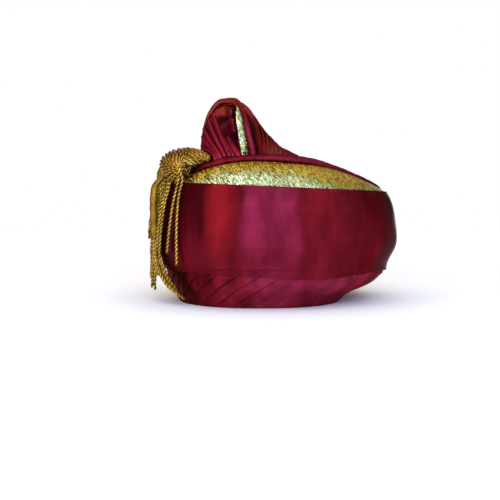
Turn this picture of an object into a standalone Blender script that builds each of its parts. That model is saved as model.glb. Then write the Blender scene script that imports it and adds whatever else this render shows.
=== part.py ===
"""Tied turban pagri: a stitched maroon satin turban with a gold front, a raised hood and a tassel.

Metres, +Z up. The front faces -Y and the wearer's left is +X. The rim stands on Z = 0.
Rings are read at an angle about the head axis: 0 is the wearer's left, 270 degrees is the front.
"""
import math
from collections import namedtuple

import bmesh
import bpy
from mathutils import Vector

# Head opening and rim
HEAD_WIDTH = 0.154        # inside of the rim, side to side
HEAD_DEPTH = 0.174        # inside of the rim, front to back
RIM_WIDTH = 0.007         # flat underside of the rim
HEM_HEIGHT = 0.012        # how far the wrap turns up inside the rim
OVAL = 2.3                # roundness of every ring: 2 is an ellipse, more is squarer

# How far the band swells out past the rim
SWELL_LEFT = 0.016        # the wearer's right, where the tassel hangs
SWELL_RIGHT = 0.055
SWELL_FRONT = 0.025
SWELL_BACK = 0.025

# Heights
WRAP_HEIGHT = 0.0315      # floor to the band's lower edge
BAND_HEIGHT = 0.0815      # the band's lower edge to its top edge
FOOT_DROP = 0.002         # how much lower the band's lower edge lies at the wearer's left
TOP_DROP = 0.005          # how much lower the band's top edge lies at the wearer's left
PANEL_HEIGHT = 0.024      # the band's top edge to the piping, at the front
CROWN_RISE = 0.002        # the crown's middle above the piping at the front

# Cloth
BAND_WALL = 0.0022
WRAP_WALL = 0.0020
PANEL_WALL = 0.0016
CROWN_WALL = 0.0018
HOOD_WALL = 0.0018
PLEAT_WALL = 0.0012
STRIP_WALL = 0.0012
TUCK = 0.010              # how far one layer runs in behind the next
CLEARANCE = 0.0005        # gap between layers that lie on each other
RING_STEPS = 64           # columns of the band and of the brocade, which lies behind it

# Lower pleats
WRAP_PLEATS = 34
WRAP_PLEAT_DEPTH = 0.0014
WRAP_PLEAT_LEAN = 16.0    # degrees that a pleat moves round between the rim and the band
PLEAT_VALLEY = 0.06       # where a pleat is lowest and highest, as shares of its own width
PLEAT_RIDGE = 0.92

# Piping and crown
PIPE_RADIUS = 0.0031
PIPE_TAPER = 0.30         # how much thinner the piping is at the wearer's left
PANEL_SWELL = 0.10        # how far the brocade swells out, as a share of its width
PIPE_LIFT = 0.0024        # the piping's middle above the band's edge, away from the front
PIPE_STEPS = 84
CROWN_PLEATS = 20
CROWN_PLEAT_DEPTH = 0.0014
CROWN_SHARES = (1.0, 0.86, 0.68, 0.46, 0.22)    # the crown's rings, edge to middle

# Hood
HOOD_LENGTH = 0.098       # the mouth's outer side to the tip of the tail
HOOD_DEPTH = 0.072        # front foot to back foot
HOOD_HEIGHT = 0.058       # the peak above the crown
HOOD_MIDDLE = 0.044       # from the head axis forward to the peak of the mouth
HOOD_SIDE = -0.0585       # from the head axis to the mouth's outer side
HOOD_PEAK_SHARE = 0.36    # share of the depth from the front feet back to that peak
HOOD_FOOT_SHARE = 0.033   # share of the height over which the feet follow the crown
HOOD_FULLNESS = 2.4       # 2 is a round arch, more is fuller
HOOD_RIBS = 11
HOOD_RIB_DEPTH = 0.022    # share of the arch that a rib stands out
HOOD_TWIST = 0.30         # share of the arch that a rib crosses from mouth to tail
ROLL_RADIUS = 0.0026
FOLD_DEPTH = 0.0035       # depth of each narrow pleat in the mouth
FOLD_VALLEY = 0.55        # where a narrow pleat turns back, as a share of the way to the next
STRIP_WIDTH = 0.0075

# Tassel
LOCK_RADIUS = 0.0024
LOCK_CLEARANCE = 0.0006
FAN_THICK = 0.0108        # half thickness of the fan, in its arch
FAN_BREADTH = 0.018       # half breadth of the fan, front to back
ROOT_FRONT = 0.3          # how far in front of the fan's middle the first lock leaves it
ROOT_HIGH = 0.6           # where the locks leave the fan's last curve, by turns
ROOT_LOW = 0.9
FRONT_ROOT = 0.6          # how far in front of the fan's middle the front locks leave it
TASSEL_STAND = 0.0152     # the outermost lock past the band

# Sizes that follow from the ones above
RIM_SIDE = HEAD_WIDTH / 2 + RIM_WIDTH
RIM_FRONT = HEAD_DEPTH / 2 + RIM_WIDTH
BAND_LEFT = RIM_SIDE + SWELL_LEFT
BAND_RIGHT = RIM_SIDE + SWELL_RIGHT
BAND_FRONT = RIM_FRONT + SWELL_FRONT
BAND_BACK = RIM_FRONT + SWELL_BACK
BAND_TOP = WRAP_HEIGHT + BAND_HEIGHT
CROWN_TOP = BAND_TOP + PIPE_LIFT + PANEL_HEIGHT + CROWN_RISE
HEAD_X = (BAND_LEFT + TASSEL_STAND - BAND_RIGHT) / 2
HEAD_Y = (BAND_FRONT - BAND_BACK) / 2

# The lower wrap: height as a share of WRAP_HEIGHT, spread as a share of rim to band
WrapSection = namedtuple("WrapSection", "height spread")
WRAP_SECTIONS = (
    WrapSection(0.00, 0.00),
    WrapSection(0.22, 0.24),
    WrapSection(0.53, 0.66),
    WrapSection(0.82, 0.90),
    WrapSection(0.97, 1.00),
)

# The gold panel's curve: reach and rise as shares of the way from the band's lip to the piping
PanelSection = namedtuple("PanelSection", "reach rise")
PANEL_SECTIONS = (PanelSection(0.34, 0.42), PanelSection(0.68, 0.78))

# The band: height as a share of the band, side and front as shares of its widest ring
BandSection = namedtuple("BandSection", "height side front")
BAND_SECTIONS = (
    BandSection(0.00, 0.940, 0.967),
    BandSection(0.09, 0.960, 0.979),
    BandSection(0.19, 0.983, 0.991),
    BandSection(0.30, 0.997, 0.999),
    BandSection(0.42, 1.000, 1.000),
    BandSection(0.62, 0.990, 0.998),
    BandSection(0.80, 0.972, 0.990),
    BandSection(0.92, 0.948, 0.977),
    BandSection(1.00, 0.920, 0.962),
)

# The crown's edge: reach as a share of the way to the band's lip, rise as a share of PANEL_HEIGHT
CrownLine = namedtuple("CrownLine", "degrees reach rise")
CROWN_LINE = (
    CrownLine(0, 1.00, 0.00),
    CrownLine(30, 1.00, 0.00),
    CrownLine(60, 1.00, 0.03),
    CrownLine(90, 1.00, 0.06),
    CrownLine(120, 1.00, 0.05),
    CrownLine(150, 1.00, 0.03),
    CrownLine(180, 1.00, 0.05),
    CrownLine(205, 0.97, 0.08),
    CrownLine(230, 0.87, 0.46),
    CrownLine(250, 0.80, 0.85),
    CrownLine(270, 0.78, 1.03),
    CrownLine(290, 0.79, 0.95),
    CrownLine(310, 0.83, 0.77),
    CrownLine(330, 0.90, 0.47),
    CrownLine(345, 0.97, 0.17),
)

# Arches of the hood, mouth to tail. x is a share of HOOD_LENGTH from the mouth's outer side, y a
# share of HOOD_DEPTH back from the front feet, top a share of HOOD_HEIGHT
HoodArch = namedtuple("HoodArch", "front_x front_y peak_x peak_y top back_x back_y")
HOOD_ARCHES = (
    HoodArch(0.535, 0.04, 0.265, 0.32, 1.00, 0.000, 0.40),
    HoodArch(0.620, 0.01, 0.365, 0.42, 0.93, 0.050, 0.62),
    HoodArch(0.700, 0.00, 0.440, 0.48, 0.68, 0.160, 0.84),
    HoodArch(0.780, 0.01, 0.530, 0.50, 0.46, 0.310, 0.96),
    HoodArch(0.855, 0.03, 0.640, 0.47, 0.28, 0.490, 0.94),
    HoodArch(0.925, 0.07, 0.780, 0.42, 0.16, 0.690, 0.80),
    HoodArch(0.985, 0.16, 0.935, 0.34, 0.04, 0.890, 0.50),
)

# Narrow pleats at the mouth: x and top as shares of HOOD_LENGTH and HOOD_HEIGHT, y of HOOD_DEPTH
MouthPleat = namedtuple("MouthPleat", "foot_x foot_y tip_x tip_y top")
MOUTH_PLEATS = (
    MouthPleat(0.175, -0.02, 0.015, 0.22, 0.21),
    MouthPleat(0.215, -0.03, 0.035, 0.22, 0.49),
    MouthPleat(0.255, -0.04, 0.075, 0.21, 0.65),
    MouthPleat(0.300, -0.04, 0.125, 0.20, 0.73),
    MouthPleat(0.340, -0.03, 0.165, 0.18, 0.54),
    MouthPleat(0.400, -0.02, 0.275, 0.12, 0.34),
)

# The rolled edge of the mouth: turn round the first arch, and size as a share of ROLL_RADIUS
RollSection = namedtuple("RollSection", "turn size")
ROLL_SECTIONS = (
    RollSection(0.00, 1.00),
    RollSection(0.06, 1.00),
    RollSection(0.13, 1.00),
    RollSection(0.20, 0.95),
    RollSection(0.27, 0.85),
    RollSection(0.34, 0.70),
    RollSection(0.40, 0.45),
)

# The gold strip: how wide it is and where it stands, up its height
StripSection = namedtuple("StripSection", "x y top width")
STRIP_SECTIONS = (
    StripSection(0.450, 0.02, 0.00, 1.00),
    StripSection(0.415, 0.05, 0.34, 1.00),
    StripSection(0.385, 0.10, 0.64, 0.80),
    StripSection(0.368, 0.14, 0.82, 0.25),
)

# The tassel's fan: x from the band's left side and z from the band's top edge, as shares of
# TASSEL_STAND, y from the head axis as a share of BAND_FRONT, and the size of the section there
FanSection = namedtuple("FanSection", "x y z size")
FAN_SECTIONS = (
    FanSection(2.50, -0.396, 2.00, 0.58),
    FanSection(1.95, -0.402, 1.92, 0.85),
    FanSection(1.30, -0.370, 1.70, 0.95),
    FanSection(0.62, -0.332, 1.20, 0.85),
    FanSection(0.10, -0.300, 0.42, 0.60),
    FanSection(-0.12, -0.275, -0.40, 0.46),
)

# Hanging locks. front locks leave the fan's front, over the piping, and the others its end. Angles
# are on the wall in degrees, end_height is a share of BAND_TOP, layer of TASSEL_STAND and girth of
# LOCK_RADIUS, and curl is how far a lock follows the wrap in under the band
Lock = namedtuple("Lock", "front top_angle end_angle end_height layer girth curl")
LOCKS = (
    Lock(False, 195, 184, 0.530, 0.84, 1.05, 0),
    Lock(False, 196, 189, 0.320, 0.55, 1.15, 0),
    Lock(False, 198, 187, 0.170, 0.86, 1.00, 0),
    Lock(False, 199, 193, 0.095, 0.55, 1.00, 0),
    Lock(False, 200, 197, 0.250, 0.32, 1.20, 0),
    Lock(False, 202, 202, 0.200, 0.22, 1.20, 0),
    Lock(False, 204, 217, 0.070, 0.12, 1.00, 1),
    Lock(True, 221, 211, 0.420, 0.10, 0.70, 0),
    Lock(True, 225, 228, 0.350, 0.02, 0.62, 0),
)
LOCK_POINTS = 9

# Finish: colour, roughness, metallic
Finish = namedtuple("Finish", "colour roughness metallic")
FINISHES = {
    "maroon_satin": Finish((0.16, 0.012, 0.030, 1.0), 0.38, 0.0),
    "gold_brocade": Finish((0.50, 0.36, 0.09, 1.0), 0.35, 0.8),
    "gold_bullion": Finish((0.45, 0.27, 0.05, 1.0), 0.40, 0.7),
}


def remove_scene_objects():
    for item in list(bpy.data.objects):
        bpy.data.objects.remove(item, do_unlink=True)


def collection_for_parts():
    group = bpy.data.collections.new("turban_pagri")
    bpy.context.scene.collection.children.link(group)
    return group


def finish_material(slot, name):
    finish = FINISHES[slot]
    material = bpy.data.materials.new(name)
    material.use_nodes = True
    shader = material.node_tree.nodes["Principled BSDF"]
    shader.inputs["Base Color"].default_value = finish.colour
    shader.inputs["Roughness"].default_value = finish.roughness
    shader.inputs["Metallic"].default_value = finish.metallic
    material.diffuse_color = finish.colour
    return material


def link_piece(group, name, data, slot):
    piece = bpy.data.objects.new(name, data)
    data.materials.append(finish_material(slot, name))
    group.objects.link(piece)
    return piece


def blend(first, second, share):
    return first + (second - first) * share


def between(table, column, value):
    """Read every column of a table at a value of one column, in a straight line between rows."""
    last = table[-1]
    for low, high in zip(table, table[1:]):
        start, end = getattr(low, column), getattr(high, column)
        if value <= end:
            share = max(0.0, (value - start) / (end - start))
            return type(low)(*(blend(a, b, share) for a, b in zip(low, high)))
    return last


def curve_through(rows, share):
    """Read rows of numbers as one smooth curve through them, at a share of its length."""
    place = share * (len(rows) - 1)
    index = min(int(place), len(rows) - 2)
    part = place - index
    before = rows[max(index - 1, 0)]
    start, end = rows[index], rows[index + 1]
    after = rows[min(index + 2, len(rows) - 1)]
    values = []
    for a, b, c, d in zip(before, start, end, after):
        slope_in, slope_out = (c - a) / 2, (d - b) / 2
        bend = 2 * (b - c) + slope_in + slope_out
        values.append(b + part * (slope_in + part * (3 * (c - b) - 2 * slope_in - slope_out + part * bend)))
    return values


def round_curve(table, degrees):
    """Read a table of a closed ring as one smooth curve, at an angle in degrees."""
    degrees = degrees % 360
    rows = [tuple(row) for row in table]
    first, second = rows[0], rows[1]
    last = rows[-1]
    ring = [(last[0] - 360,) + last[1:]] + rows
    ring += [(first[0] + 360,) + first[1:], (second[0] + 360,) + second[1:]]
    for index in range(1, len(ring) - 2):
        start, end = ring[index], ring[index + 1]
        if start[0] <= degrees <= end[0]:
            part = (degrees - start[0]) / (end[0] - start[0])
            ends = ring[index - 1:index + 3]
            values = [curve_through([row[1:] for row in ends], (1 + part) / 3)]
            return type(table[0])(degrees, *values[0])
    return table[0]


def ring_reach(angle, left, right, front, back):
    """Distance from the head axis to a rounded oval with its own reach to each side."""
    across = math.cos(angle) / (right if math.cos(angle) > 0 else left)
    along = math.sin(angle) / (back if math.sin(angle) > 0 else front)
    return (abs(across) ** OVAL + abs(along) ** OVAL) ** (-1 / OVAL)


def place(angle, reach, height):
    return Vector((HEAD_X + reach * math.cos(angle), HEAD_Y + reach * math.sin(angle), height))


def rim_reach(angle):
    return ring_reach(angle, RIM_SIDE, RIM_SIDE, RIM_FRONT, RIM_FRONT)


def band_reach(angle, share):
    row = between(BAND_SECTIONS, "height", share)
    return ring_reach(
        angle, BAND_LEFT * row.side, BAND_RIGHT * row.side, BAND_FRONT * row.front, BAND_BACK * row.front)


def band_height(angle, share):
    foot = WRAP_HEIGHT - FOOT_DROP * math.cos(angle)
    top = BAND_TOP - TOP_DROP * math.cos(angle)
    return blend(foot, top, share)


def pipe_radius(angle):
    return PIPE_RADIUS * (1 - PIPE_TAPER * max(0.0, math.cos(angle)))


def panel_lip(angle):
    """Reach of the gold panel where it comes out from behind the band."""
    return band_reach(angle, 1.0) - BAND_WALL - CLEARANCE


def crown_line(angle):
    """Reach and height of the piping's middle."""
    row = round_curve(CROWN_LINE, math.degrees(angle))
    lip = panel_lip(angle) - PANEL_WALL - CLEARANCE - pipe_radius(angle)
    return lip * row.reach, band_height(angle, 1.0) + PIPE_LIFT + PANEL_HEIGHT * row.rise


def crown_edge(angle):
    return crown_line(angle)[0] - pipe_radius(angle) - CLEARANCE


def crown_height(angle, share):
    """Height of the crown, without its pleats, at a share of the way from the middle to the edge."""
    edge = crown_line(angle)[1]
    return blend(CROWN_TOP, edge, share ** 2)


def crown_fold(angle, share):
    """Height that a pleat adds: one ridge and one flat valley to each pleat, fading at the edge."""
    phase = (angle / (2 * math.pi) * CROWN_PLEATS) % 1.0
    ridge = max(0.0, 1 - 3 * min(phase, 1 - phase))
    return CROWN_PLEAT_DEPTH * ridge * min(1.0, 4 * (1 - share))


def crown_under(x, y):
    """Height of the crown at a point."""
    angle = math.atan2(y - HEAD_Y, x - HEAD_X)
    reach = math.hypot(x - HEAD_X, y - HEAD_Y)
    share = min(1.0, reach / crown_edge(angle))
    return crown_height(angle, share) + crown_fold(angle, share)


def seat_height(x, y):
    """Height at which a wall stands clear of the crown, whose pleats rise towards the middle."""
    reach = math.hypot(x - HEAD_X, y - HEAD_Y)
    nearer = max(0.0, 1 - HOOD_WALL / reach)
    inside = crown_under(blend(HEAD_X, x, nearer), blend(HEAD_Y, y, nearer))
    return max(crown_under(x, y), inside) + CLEARANCE


def sheet_mesh(name, rows, closed, pole=None):
    """Mesh of rows of points, from one edge of a cloth to the other, with an optional middle point."""
    mesh = bmesh.new()
    grid = [[mesh.verts.new(point) for point in row] for row in rows]
    count = len(grid[0])
    steps = count if closed else count - 1
    for low, high in zip(grid, grid[1:]):
        for step in range(steps):
            following = (step + 1) % count
            mesh.faces.new((low[step], low[following], high[following], high[step]))
    if pole is not None:
        middle = mesh.verts.new(pole)
        for step in range(steps):
            mesh.faces.new((grid[-1][step], grid[-1][(step + 1) % count], middle))
    data = bpy.data.meshes.new(name)
    mesh.to_mesh(data)
    mesh.free()
    data.shade_smooth()
    return data


def cloth_piece(group, name, rows, closed, wall, slot, pole=None, sharp=False):
    """A cloth wall: an open sheet that is given its thickness towards the inside.

    A sheet with sharp folds keeps one offset at each point, since an even wall would run to spikes.
    """
    piece = link_piece(group, name, sheet_mesh(name, rows, closed, pole), slot)
    thickness = piece.modifiers.new("wall", "SOLIDIFY")
    thickness.thickness = wall
    thickness.offset = -1.0
    thickness.use_even_offset = not sharp
    return piece


def ring_angles(count):
    return [2 * math.pi * step / count for step in range(count)]


def make_satin_band(group):
    angles = ring_angles(RING_STEPS)
    rows = []
    for section in BAND_SECTIONS:
        rows.append([
            place(angle, band_reach(angle, section.height), band_height(angle, section.height))
            for angle in angles])
    cloth_piece(group, "satin_band", rows, True, BAND_WALL, "maroon_satin")


def wrap_row(spread, height_share, pleat_share, lean_share):
    """One ring of the lower wrap, with its pleats: a slow rise and a sharp step back."""
    points = []
    for pleat in range(WRAP_PLEATS):
        for position, stand in ((PLEAT_VALLEY, 0.0), (PLEAT_RIDGE, 1.0)):
            turn = 2 * math.pi * (pleat + position) / WRAP_PLEATS
            angle = turn + math.radians(WRAP_PLEAT_LEAN) * lean_share
            inner = band_reach(angle, 0.0) - BAND_WALL - CLEARANCE - WRAP_PLEAT_DEPTH
            reach = blend(rim_reach(angle) - WRAP_PLEAT_DEPTH, inner, spread)
            reach += WRAP_PLEAT_DEPTH * stand * pleat_share
            points.append(place(angle, reach, band_height(angle, 0.0) * height_share))
    return points


def tuck_row(depth):
    """One ring of the lower wrap where it runs up behind the band."""
    share = depth / BAND_HEIGHT
    points = []
    for pleat in range(WRAP_PLEATS):
        for position in (PLEAT_VALLEY, PLEAT_RIDGE):
            turn = 2 * math.pi * (pleat + position) / WRAP_PLEATS
            angle = turn + math.radians(WRAP_PLEAT_LEAN)
            reach = band_reach(angle, share) - BAND_WALL - CLEARANCE - WRAP_PLEAT_DEPTH / 2
            points.append(place(angle, reach, band_height(angle, share)))
    return points


def hem_row(height):
    """One ring of the inside of the rim."""
    points = []
    for pleat in range(WRAP_PLEATS):
        for position in (PLEAT_VALLEY, PLEAT_RIDGE):
            angle = 2 * math.pi * (pleat + position) / WRAP_PLEATS
            points.append(place(angle, rim_reach(angle) - RIM_WIDTH, height))
    return points


def make_lower_wrap(group):
    rows = [hem_row(HEM_HEIGHT), hem_row(0.0)]
    for section in WRAP_SECTIONS:
        pleat_share = min(1.0, 4 * section.height)
        rows.append(wrap_row(section.spread, section.height, pleat_share, section.height))
    rows.append(tuck_row(TUCK / 3))
    rows.append(tuck_row(TUCK))
    cloth_piece(group, "lower_wrap", rows, True, WRAP_WALL, "maroon_satin")


def make_gold_panel(group):
    """The brocade: tucked behind the band, a wide crescent at the front and a thin line behind."""
    tuck_share = 1 - TUCK / BAND_HEIGHT
    rows = [[] for _ in range(len(PANEL_SECTIONS) + 3)]
    for angle in ring_angles(RING_STEPS):
        hidden = band_reach(angle, tuck_share) - BAND_WALL - CLEARANCE
        lip = panel_lip(angle)
        reach, height = crown_line(angle)
        edge = reach + pipe_radius(angle) + CLEARANCE + PANEL_WALL
        foot = band_height(angle, 1.0)
        top = height - pipe_radius(angle) / 3
        swell = PANEL_SWELL * (lip - edge)
        rows[0].append(place(angle, hidden, band_height(angle, tuck_share)))
        rows[1].append(place(angle, lip, foot))
        for row, section in zip(rows[2:-1], PANEL_SECTIONS):
            row.append(place(angle, blend(lip, edge, section.reach) + swell, blend(foot, top, section.rise)))
        rows[-1].append(place(angle, edge, top))
    cloth_piece(group, "gold_panel", rows, True, PANEL_WALL, "gold_brocade")


def path_object(group, name, points, radii, slot, cyclic=False):
    """A round cord through points, with its own radius at each."""
    data = bpy.data.curves.new(name, "CURVE")
    data.dimensions = "3D"
    data.bevel_depth = 1.0
    data.bevel_resolution = 2
    data.use_fill_caps = not cyclic
    spline = data.splines.new("POLY")
    spline.points.add(len(points) - 1)
    for knot, point, radius in zip(spline.points, points, radii):
        knot.co = (*point, 1.0)
        knot.radius = radius
    spline.use_cyclic_u = cyclic
    spline.use_smooth = True
    return link_piece(group, name, data, slot)


def make_rolled_piping(group):
    angles = ring_angles(PIPE_STEPS)
    points = [place(angle, *crown_line(angle)) for angle in angles]
    radii = [pipe_radius(angle) for angle in angles]
    path_object(group, "rolled_piping", points, radii, "maroon_satin", cyclic=True)


def make_crown(group):
    """The shallow top, in soft pleats that run in from the edge."""
    rows = []
    for share in CROWN_SHARES:
        row = []
        for angle in ring_angles(CROWN_PLEATS * 3):
            height = crown_height(angle, share) + crown_fold(angle, share)
            row.append(place(angle, crown_edge(angle) * share, height))
        rows.append(row)
    middle = place(0.0, 0.0, crown_height(0.0, 0.0))
    cloth_piece(group, "crown", rows, True, CROWN_WALL, "maroon_satin", pole=middle)


def hood_place(x_share, y_share, top_share):
    """A point of the hood: shares of its length, depth and height, seated on the crown."""
    x = HEAD_X + HOOD_SIDE + HOOD_LENGTH * x_share
    y = HEAD_Y - HOOD_MIDDLE - HOOD_DEPTH * (HOOD_PEAK_SHARE - y_share)
    seat = seat_height(x, y)
    height = max(seat, CROWN_TOP + HOOD_HEIGHT * top_share)
    return Vector((x, y, blend(seat, height, min(1.0, top_share / HOOD_FOOT_SHARE))))


def hood_arch_point(arch, turn, stand):
    """A point on an arch: turn runs from 0 at the front foot to 1 at the back foot."""
    front = Vector((arch.front_x, arch.front_y))
    back = Vector((arch.back_x, arch.back_y))
    peak = Vector((arch.peak_x, arch.peak_y))
    pull = peak * 2 - (front + back) / 2
    angle = math.pi * turn
    side = math.copysign(abs(math.cos(angle)) ** (2 / HOOD_FULLNESS), math.cos(angle)) * (1 + stand)
    share = (1 - side) / 2
    plan = front * (1 - share) ** 2 + pull * 2 * share * (1 - share) + back * share ** 2
    rise = math.sin(angle) ** (2 / HOOD_FULLNESS) if 0 < turn < 1 else 0.0
    return hood_place(plan.x, plan.y, arch.top * rise * (1 + stand * 0.6))


def make_hood(group):
    """Nested arches that step down from the open mouth to the tail, ribbed along their length."""
    rows = []
    row_count = 13
    columns = HOOD_RIBS * 2
    for row in range(row_count):
        along = row / (row_count - 1)
        arch = HoodArch(*curve_through(HOOD_ARCHES, along))
        points = []
        for column in range(columns + 1):
            turn = column / columns
            turn += HOOD_TWIST * (along - 0.5) * math.sin(math.pi * turn) ** 2 / 2
            stand = HOOD_RIB_DEPTH if column % 2 else 0.0
            points.append(hood_arch_point(arch, turn, stand))
        rows.append(points)
    rows = [list(reversed(points)) for points in rows]
    cloth_piece(group, "hood", rows, False, HOOD_WALL, "maroon_satin")


def make_hood_pleats(group):
    """Narrow pleats that fan up from the piping to the left side of the mouth."""
    levels = 4
    rows = [[] for _ in range(levels + 1)]
    for index, pleat in enumerate(MOUTH_PLEATS):
        following = MOUTH_PLEATS[min(index + 1, len(MOUTH_PLEATS) - 1)]
        valley = MouthPleat(*(blend(a, b, FOLD_VALLEY) for a, b in zip(pleat, following)))
        for fold, back in ((pleat, 0.0), (valley, FOLD_DEPTH)):
            if fold is valley and following is pleat:
                continue
            for level in range(levels + 1):
                share = level / levels
                point = hood_place(
                    blend(fold.foot_x, fold.tip_x, share),
                    blend(fold.foot_y, fold.tip_y, share),
                    fold.top * share)
                point.y += back
                point.z += PLEAT_WALL / 2
                rows[level].append(point)
    cloth_piece(group, "hood_pleats", rows, False, PLEAT_WALL, "maroon_satin", sharp=True)


def make_hood_roll(group):
    """The rolled front edge of the mouth, in front of the first arch."""
    mouth = HOOD_ARCHES[0]
    points = []
    for section in ROLL_SECTIONS:
        point = hood_arch_point(mouth, section.turn, 0.0)
        point.y -= ROLL_RADIUS + HOOD_WALL / 2 + CLEARANCE
        points.append(point)
    points[0].z += CLEARANCE
    radii = [ROLL_RADIUS * section.size for section in ROLL_SECTIONS]
    path_object(group, "hood_roll", points, radii, "maroon_satin")


def make_hood_strip(group):
    """The gold strip that stands in the slit, beside the rolled edge."""
    rows = []
    for section in STRIP_SECTIONS:
        middle = hood_place(section.x, section.y, section.top)
        half = Vector((STRIP_WIDTH * section.width / 2, 0, 0))
        rows.append([middle - half, middle, middle + half])
    cloth_piece(group, "hood_strip", rows, False, STRIP_WALL, "gold_brocade")


def wall_reach(angle, height):
    """Reach of the outer surface, band or lower wrap, at a height."""
    foot = band_height(angle, 0.0)
    if height >= foot:
        return band_reach(angle, (height - foot) / (band_height(angle, 1.0) - foot))
    row = between(WRAP_SECTIONS, "height", height / foot)
    return blend(rim_reach(angle), band_reach(angle, 0.0), row.spread)


def lock_root(lock, girth, index):
    """Where a lock leaves the fan, and for a front one where it passes over the piping."""
    if not lock.front:
        spread = index / (len(LOCKS) - 1) - ROOT_FRONT
        share = ROOT_LOW if index % 2 else ROOT_HIGH
        middle = blend(fan_point(FAN_SECTIONS[-3]), fan_point(FAN_SECTIONS[-2]), share)
        return [middle - Vector((0, FAN_BREADTH * spread, 0))]
    angle = math.radians(lock.top_angle)
    start = fan_point(FAN_SECTIONS[2]) - Vector((0, FAN_BREADTH * FRONT_ROOT, HOOD_WALL))
    reach, height = crown_line(angle)
    over = place(angle, reach, height + pipe_radius(angle) + girth + LOCK_CLEARANCE)
    edge = place(angle, band_reach(angle, 1.0) + girth, BAND_TOP + TOP_DROP + girth * 2)
    return [start, over, edge]


def lock_path(lock, index):
    """A lock: out of the fan, over the band's edge, then down its side to hang or curl in."""
    girth = LOCK_RADIUS * lock.girth
    points = lock_root(lock, girth, index)
    top = BAND_TOP - LOCK_RADIUS * 2
    widest = blend(WRAP_HEIGHT, BAND_TOP, max(BAND_SECTIONS, key=lambda row: row.side).height)
    for step in range(LOCK_POINTS):
        share = step / (LOCK_POINTS - 1)
        height = blend(top, BAND_TOP * lock.end_height, share)
        angle = math.radians(blend(lock.top_angle, lock.end_angle, share ** 1.3))
        hang = wall_reach(angle, max(widest, height))
        reach = blend(hang, wall_reach(angle, height), lock.curl)
        stand = LOCK_CLEARANCE + girth + (TASSEL_STAND - LOCK_CLEARANCE - 2 * girth) * lock.layer * share ** 0.5
        points.append(place(angle, reach + stand, height))
    return points


def fan_point(section):
    return Vector((
        HEAD_X - BAND_LEFT + TASSEL_STAND * section.x,
        HEAD_Y + BAND_FRONT * section.y,
        BAND_TOP + TASSEL_STAND * section.z))


def fan_mesh():
    """The fan: oval sections along its arch, closed at both ends."""
    sides = 12
    rows = []
    centres = [fan_point(section) for section in FAN_SECTIONS]
    for index, section in enumerate(FAN_SECTIONS):
        before = centres[max(index - 1, 0)]
        after = centres[min(index + 1, len(centres) - 1)]
        run = (after - before).normalized()
        out = run.cross(Vector((0, 1, 0))).normalized()
        row = []
        for side in range(sides):
            turn = 2 * math.pi * side / sides
            row.append(
                centres[index]
                + out * FAN_THICK * section.size * math.cos(turn)
                + Vector((0, FAN_BREADTH * section.size * math.sin(turn), 0)))
        rows.append(row)
    data = sheet_mesh("fan", rows, True, pole=centres[-1])
    mesh = bmesh.new()
    mesh.from_mesh(data)
    bmesh.ops.holes_fill(mesh, edges=[edge for edge in mesh.edges if edge.is_boundary])
    bmesh.ops.recalc_face_normals(mesh, faces=mesh.faces)
    mesh.to_mesh(data)
    mesh.free()
    return data


def cord_mesh(group, name, points, radii):
    """A cord turned into a closed mesh, so that it can be joined to another."""
    cord = path_object(group, name, points, radii, "gold_bullion")
    evaluated = cord.evaluated_get(bpy.context.evaluated_depsgraph_get())
    data = bpy.data.meshes.new_from_object(evaluated)
    bpy.data.objects.remove(cord, do_unlink=True)
    mesh = bmesh.new()
    mesh.from_mesh(data)
    bmesh.ops.remove_doubles(mesh, verts=mesh.verts, dist=0.00001)
    mesh.to_mesh(data)
    mesh.free()
    return data


def make_gold_tassel(group, cutters):
    """The fan and its hanging locks, joined into one piece."""
    tassel = link_piece(group, "gold_tassel", fan_mesh(), "gold_bullion")
    for index, lock in enumerate(LOCKS):
        points = lock_path(lock, index)
        radii = [LOCK_RADIUS * lock.girth] * len(points)
        name = "lock_%02d" % index
        piece = bpy.data.objects.new(name, cord_mesh(group, name, points, radii))
        piece.hide_render = True
        piece.display_type = "WIRE"
        cutters.objects.link(piece)
        join = tassel.modifiers.new(name, "BOOLEAN")
        join.operation = "UNION"
        join.solver = "EXACT"
        join.object = piece


def main():
    remove_scene_objects()
    group = collection_for_parts()
    cutters = bpy.data.collections.new("cutters")
    bpy.context.scene.collection.children.link(cutters)
    make_lower_wrap(group)
    make_satin_band(group)
    make_gold_panel(group)
    make_rolled_piping(group)
    make_crown(group)
    make_hood(group)
    make_hood_pleats(group)
    make_hood_roll(group)
    make_hood_strip(group)
    make_gold_tassel(group, cutters)


main()
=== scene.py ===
"""Looks of the tied turban pagri: satin cloth, gold brocade, tassel cords, studio and camera.

Metres, +Z up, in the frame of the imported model: the front faces -Y and the wearer's left is +X.
Sizes and tables that have the same names as in the part's source have the same values, so that
each piece lies where its solid is. Rings are read at an angle: 0 is +X and 270 degrees the front.
"""
import random
from collections import namedtuple
from math import atan2, copysign, cos, degrees, exp, hypot, pi, radians, sin, sqrt, tau

import bpy
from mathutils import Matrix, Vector, noise

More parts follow.
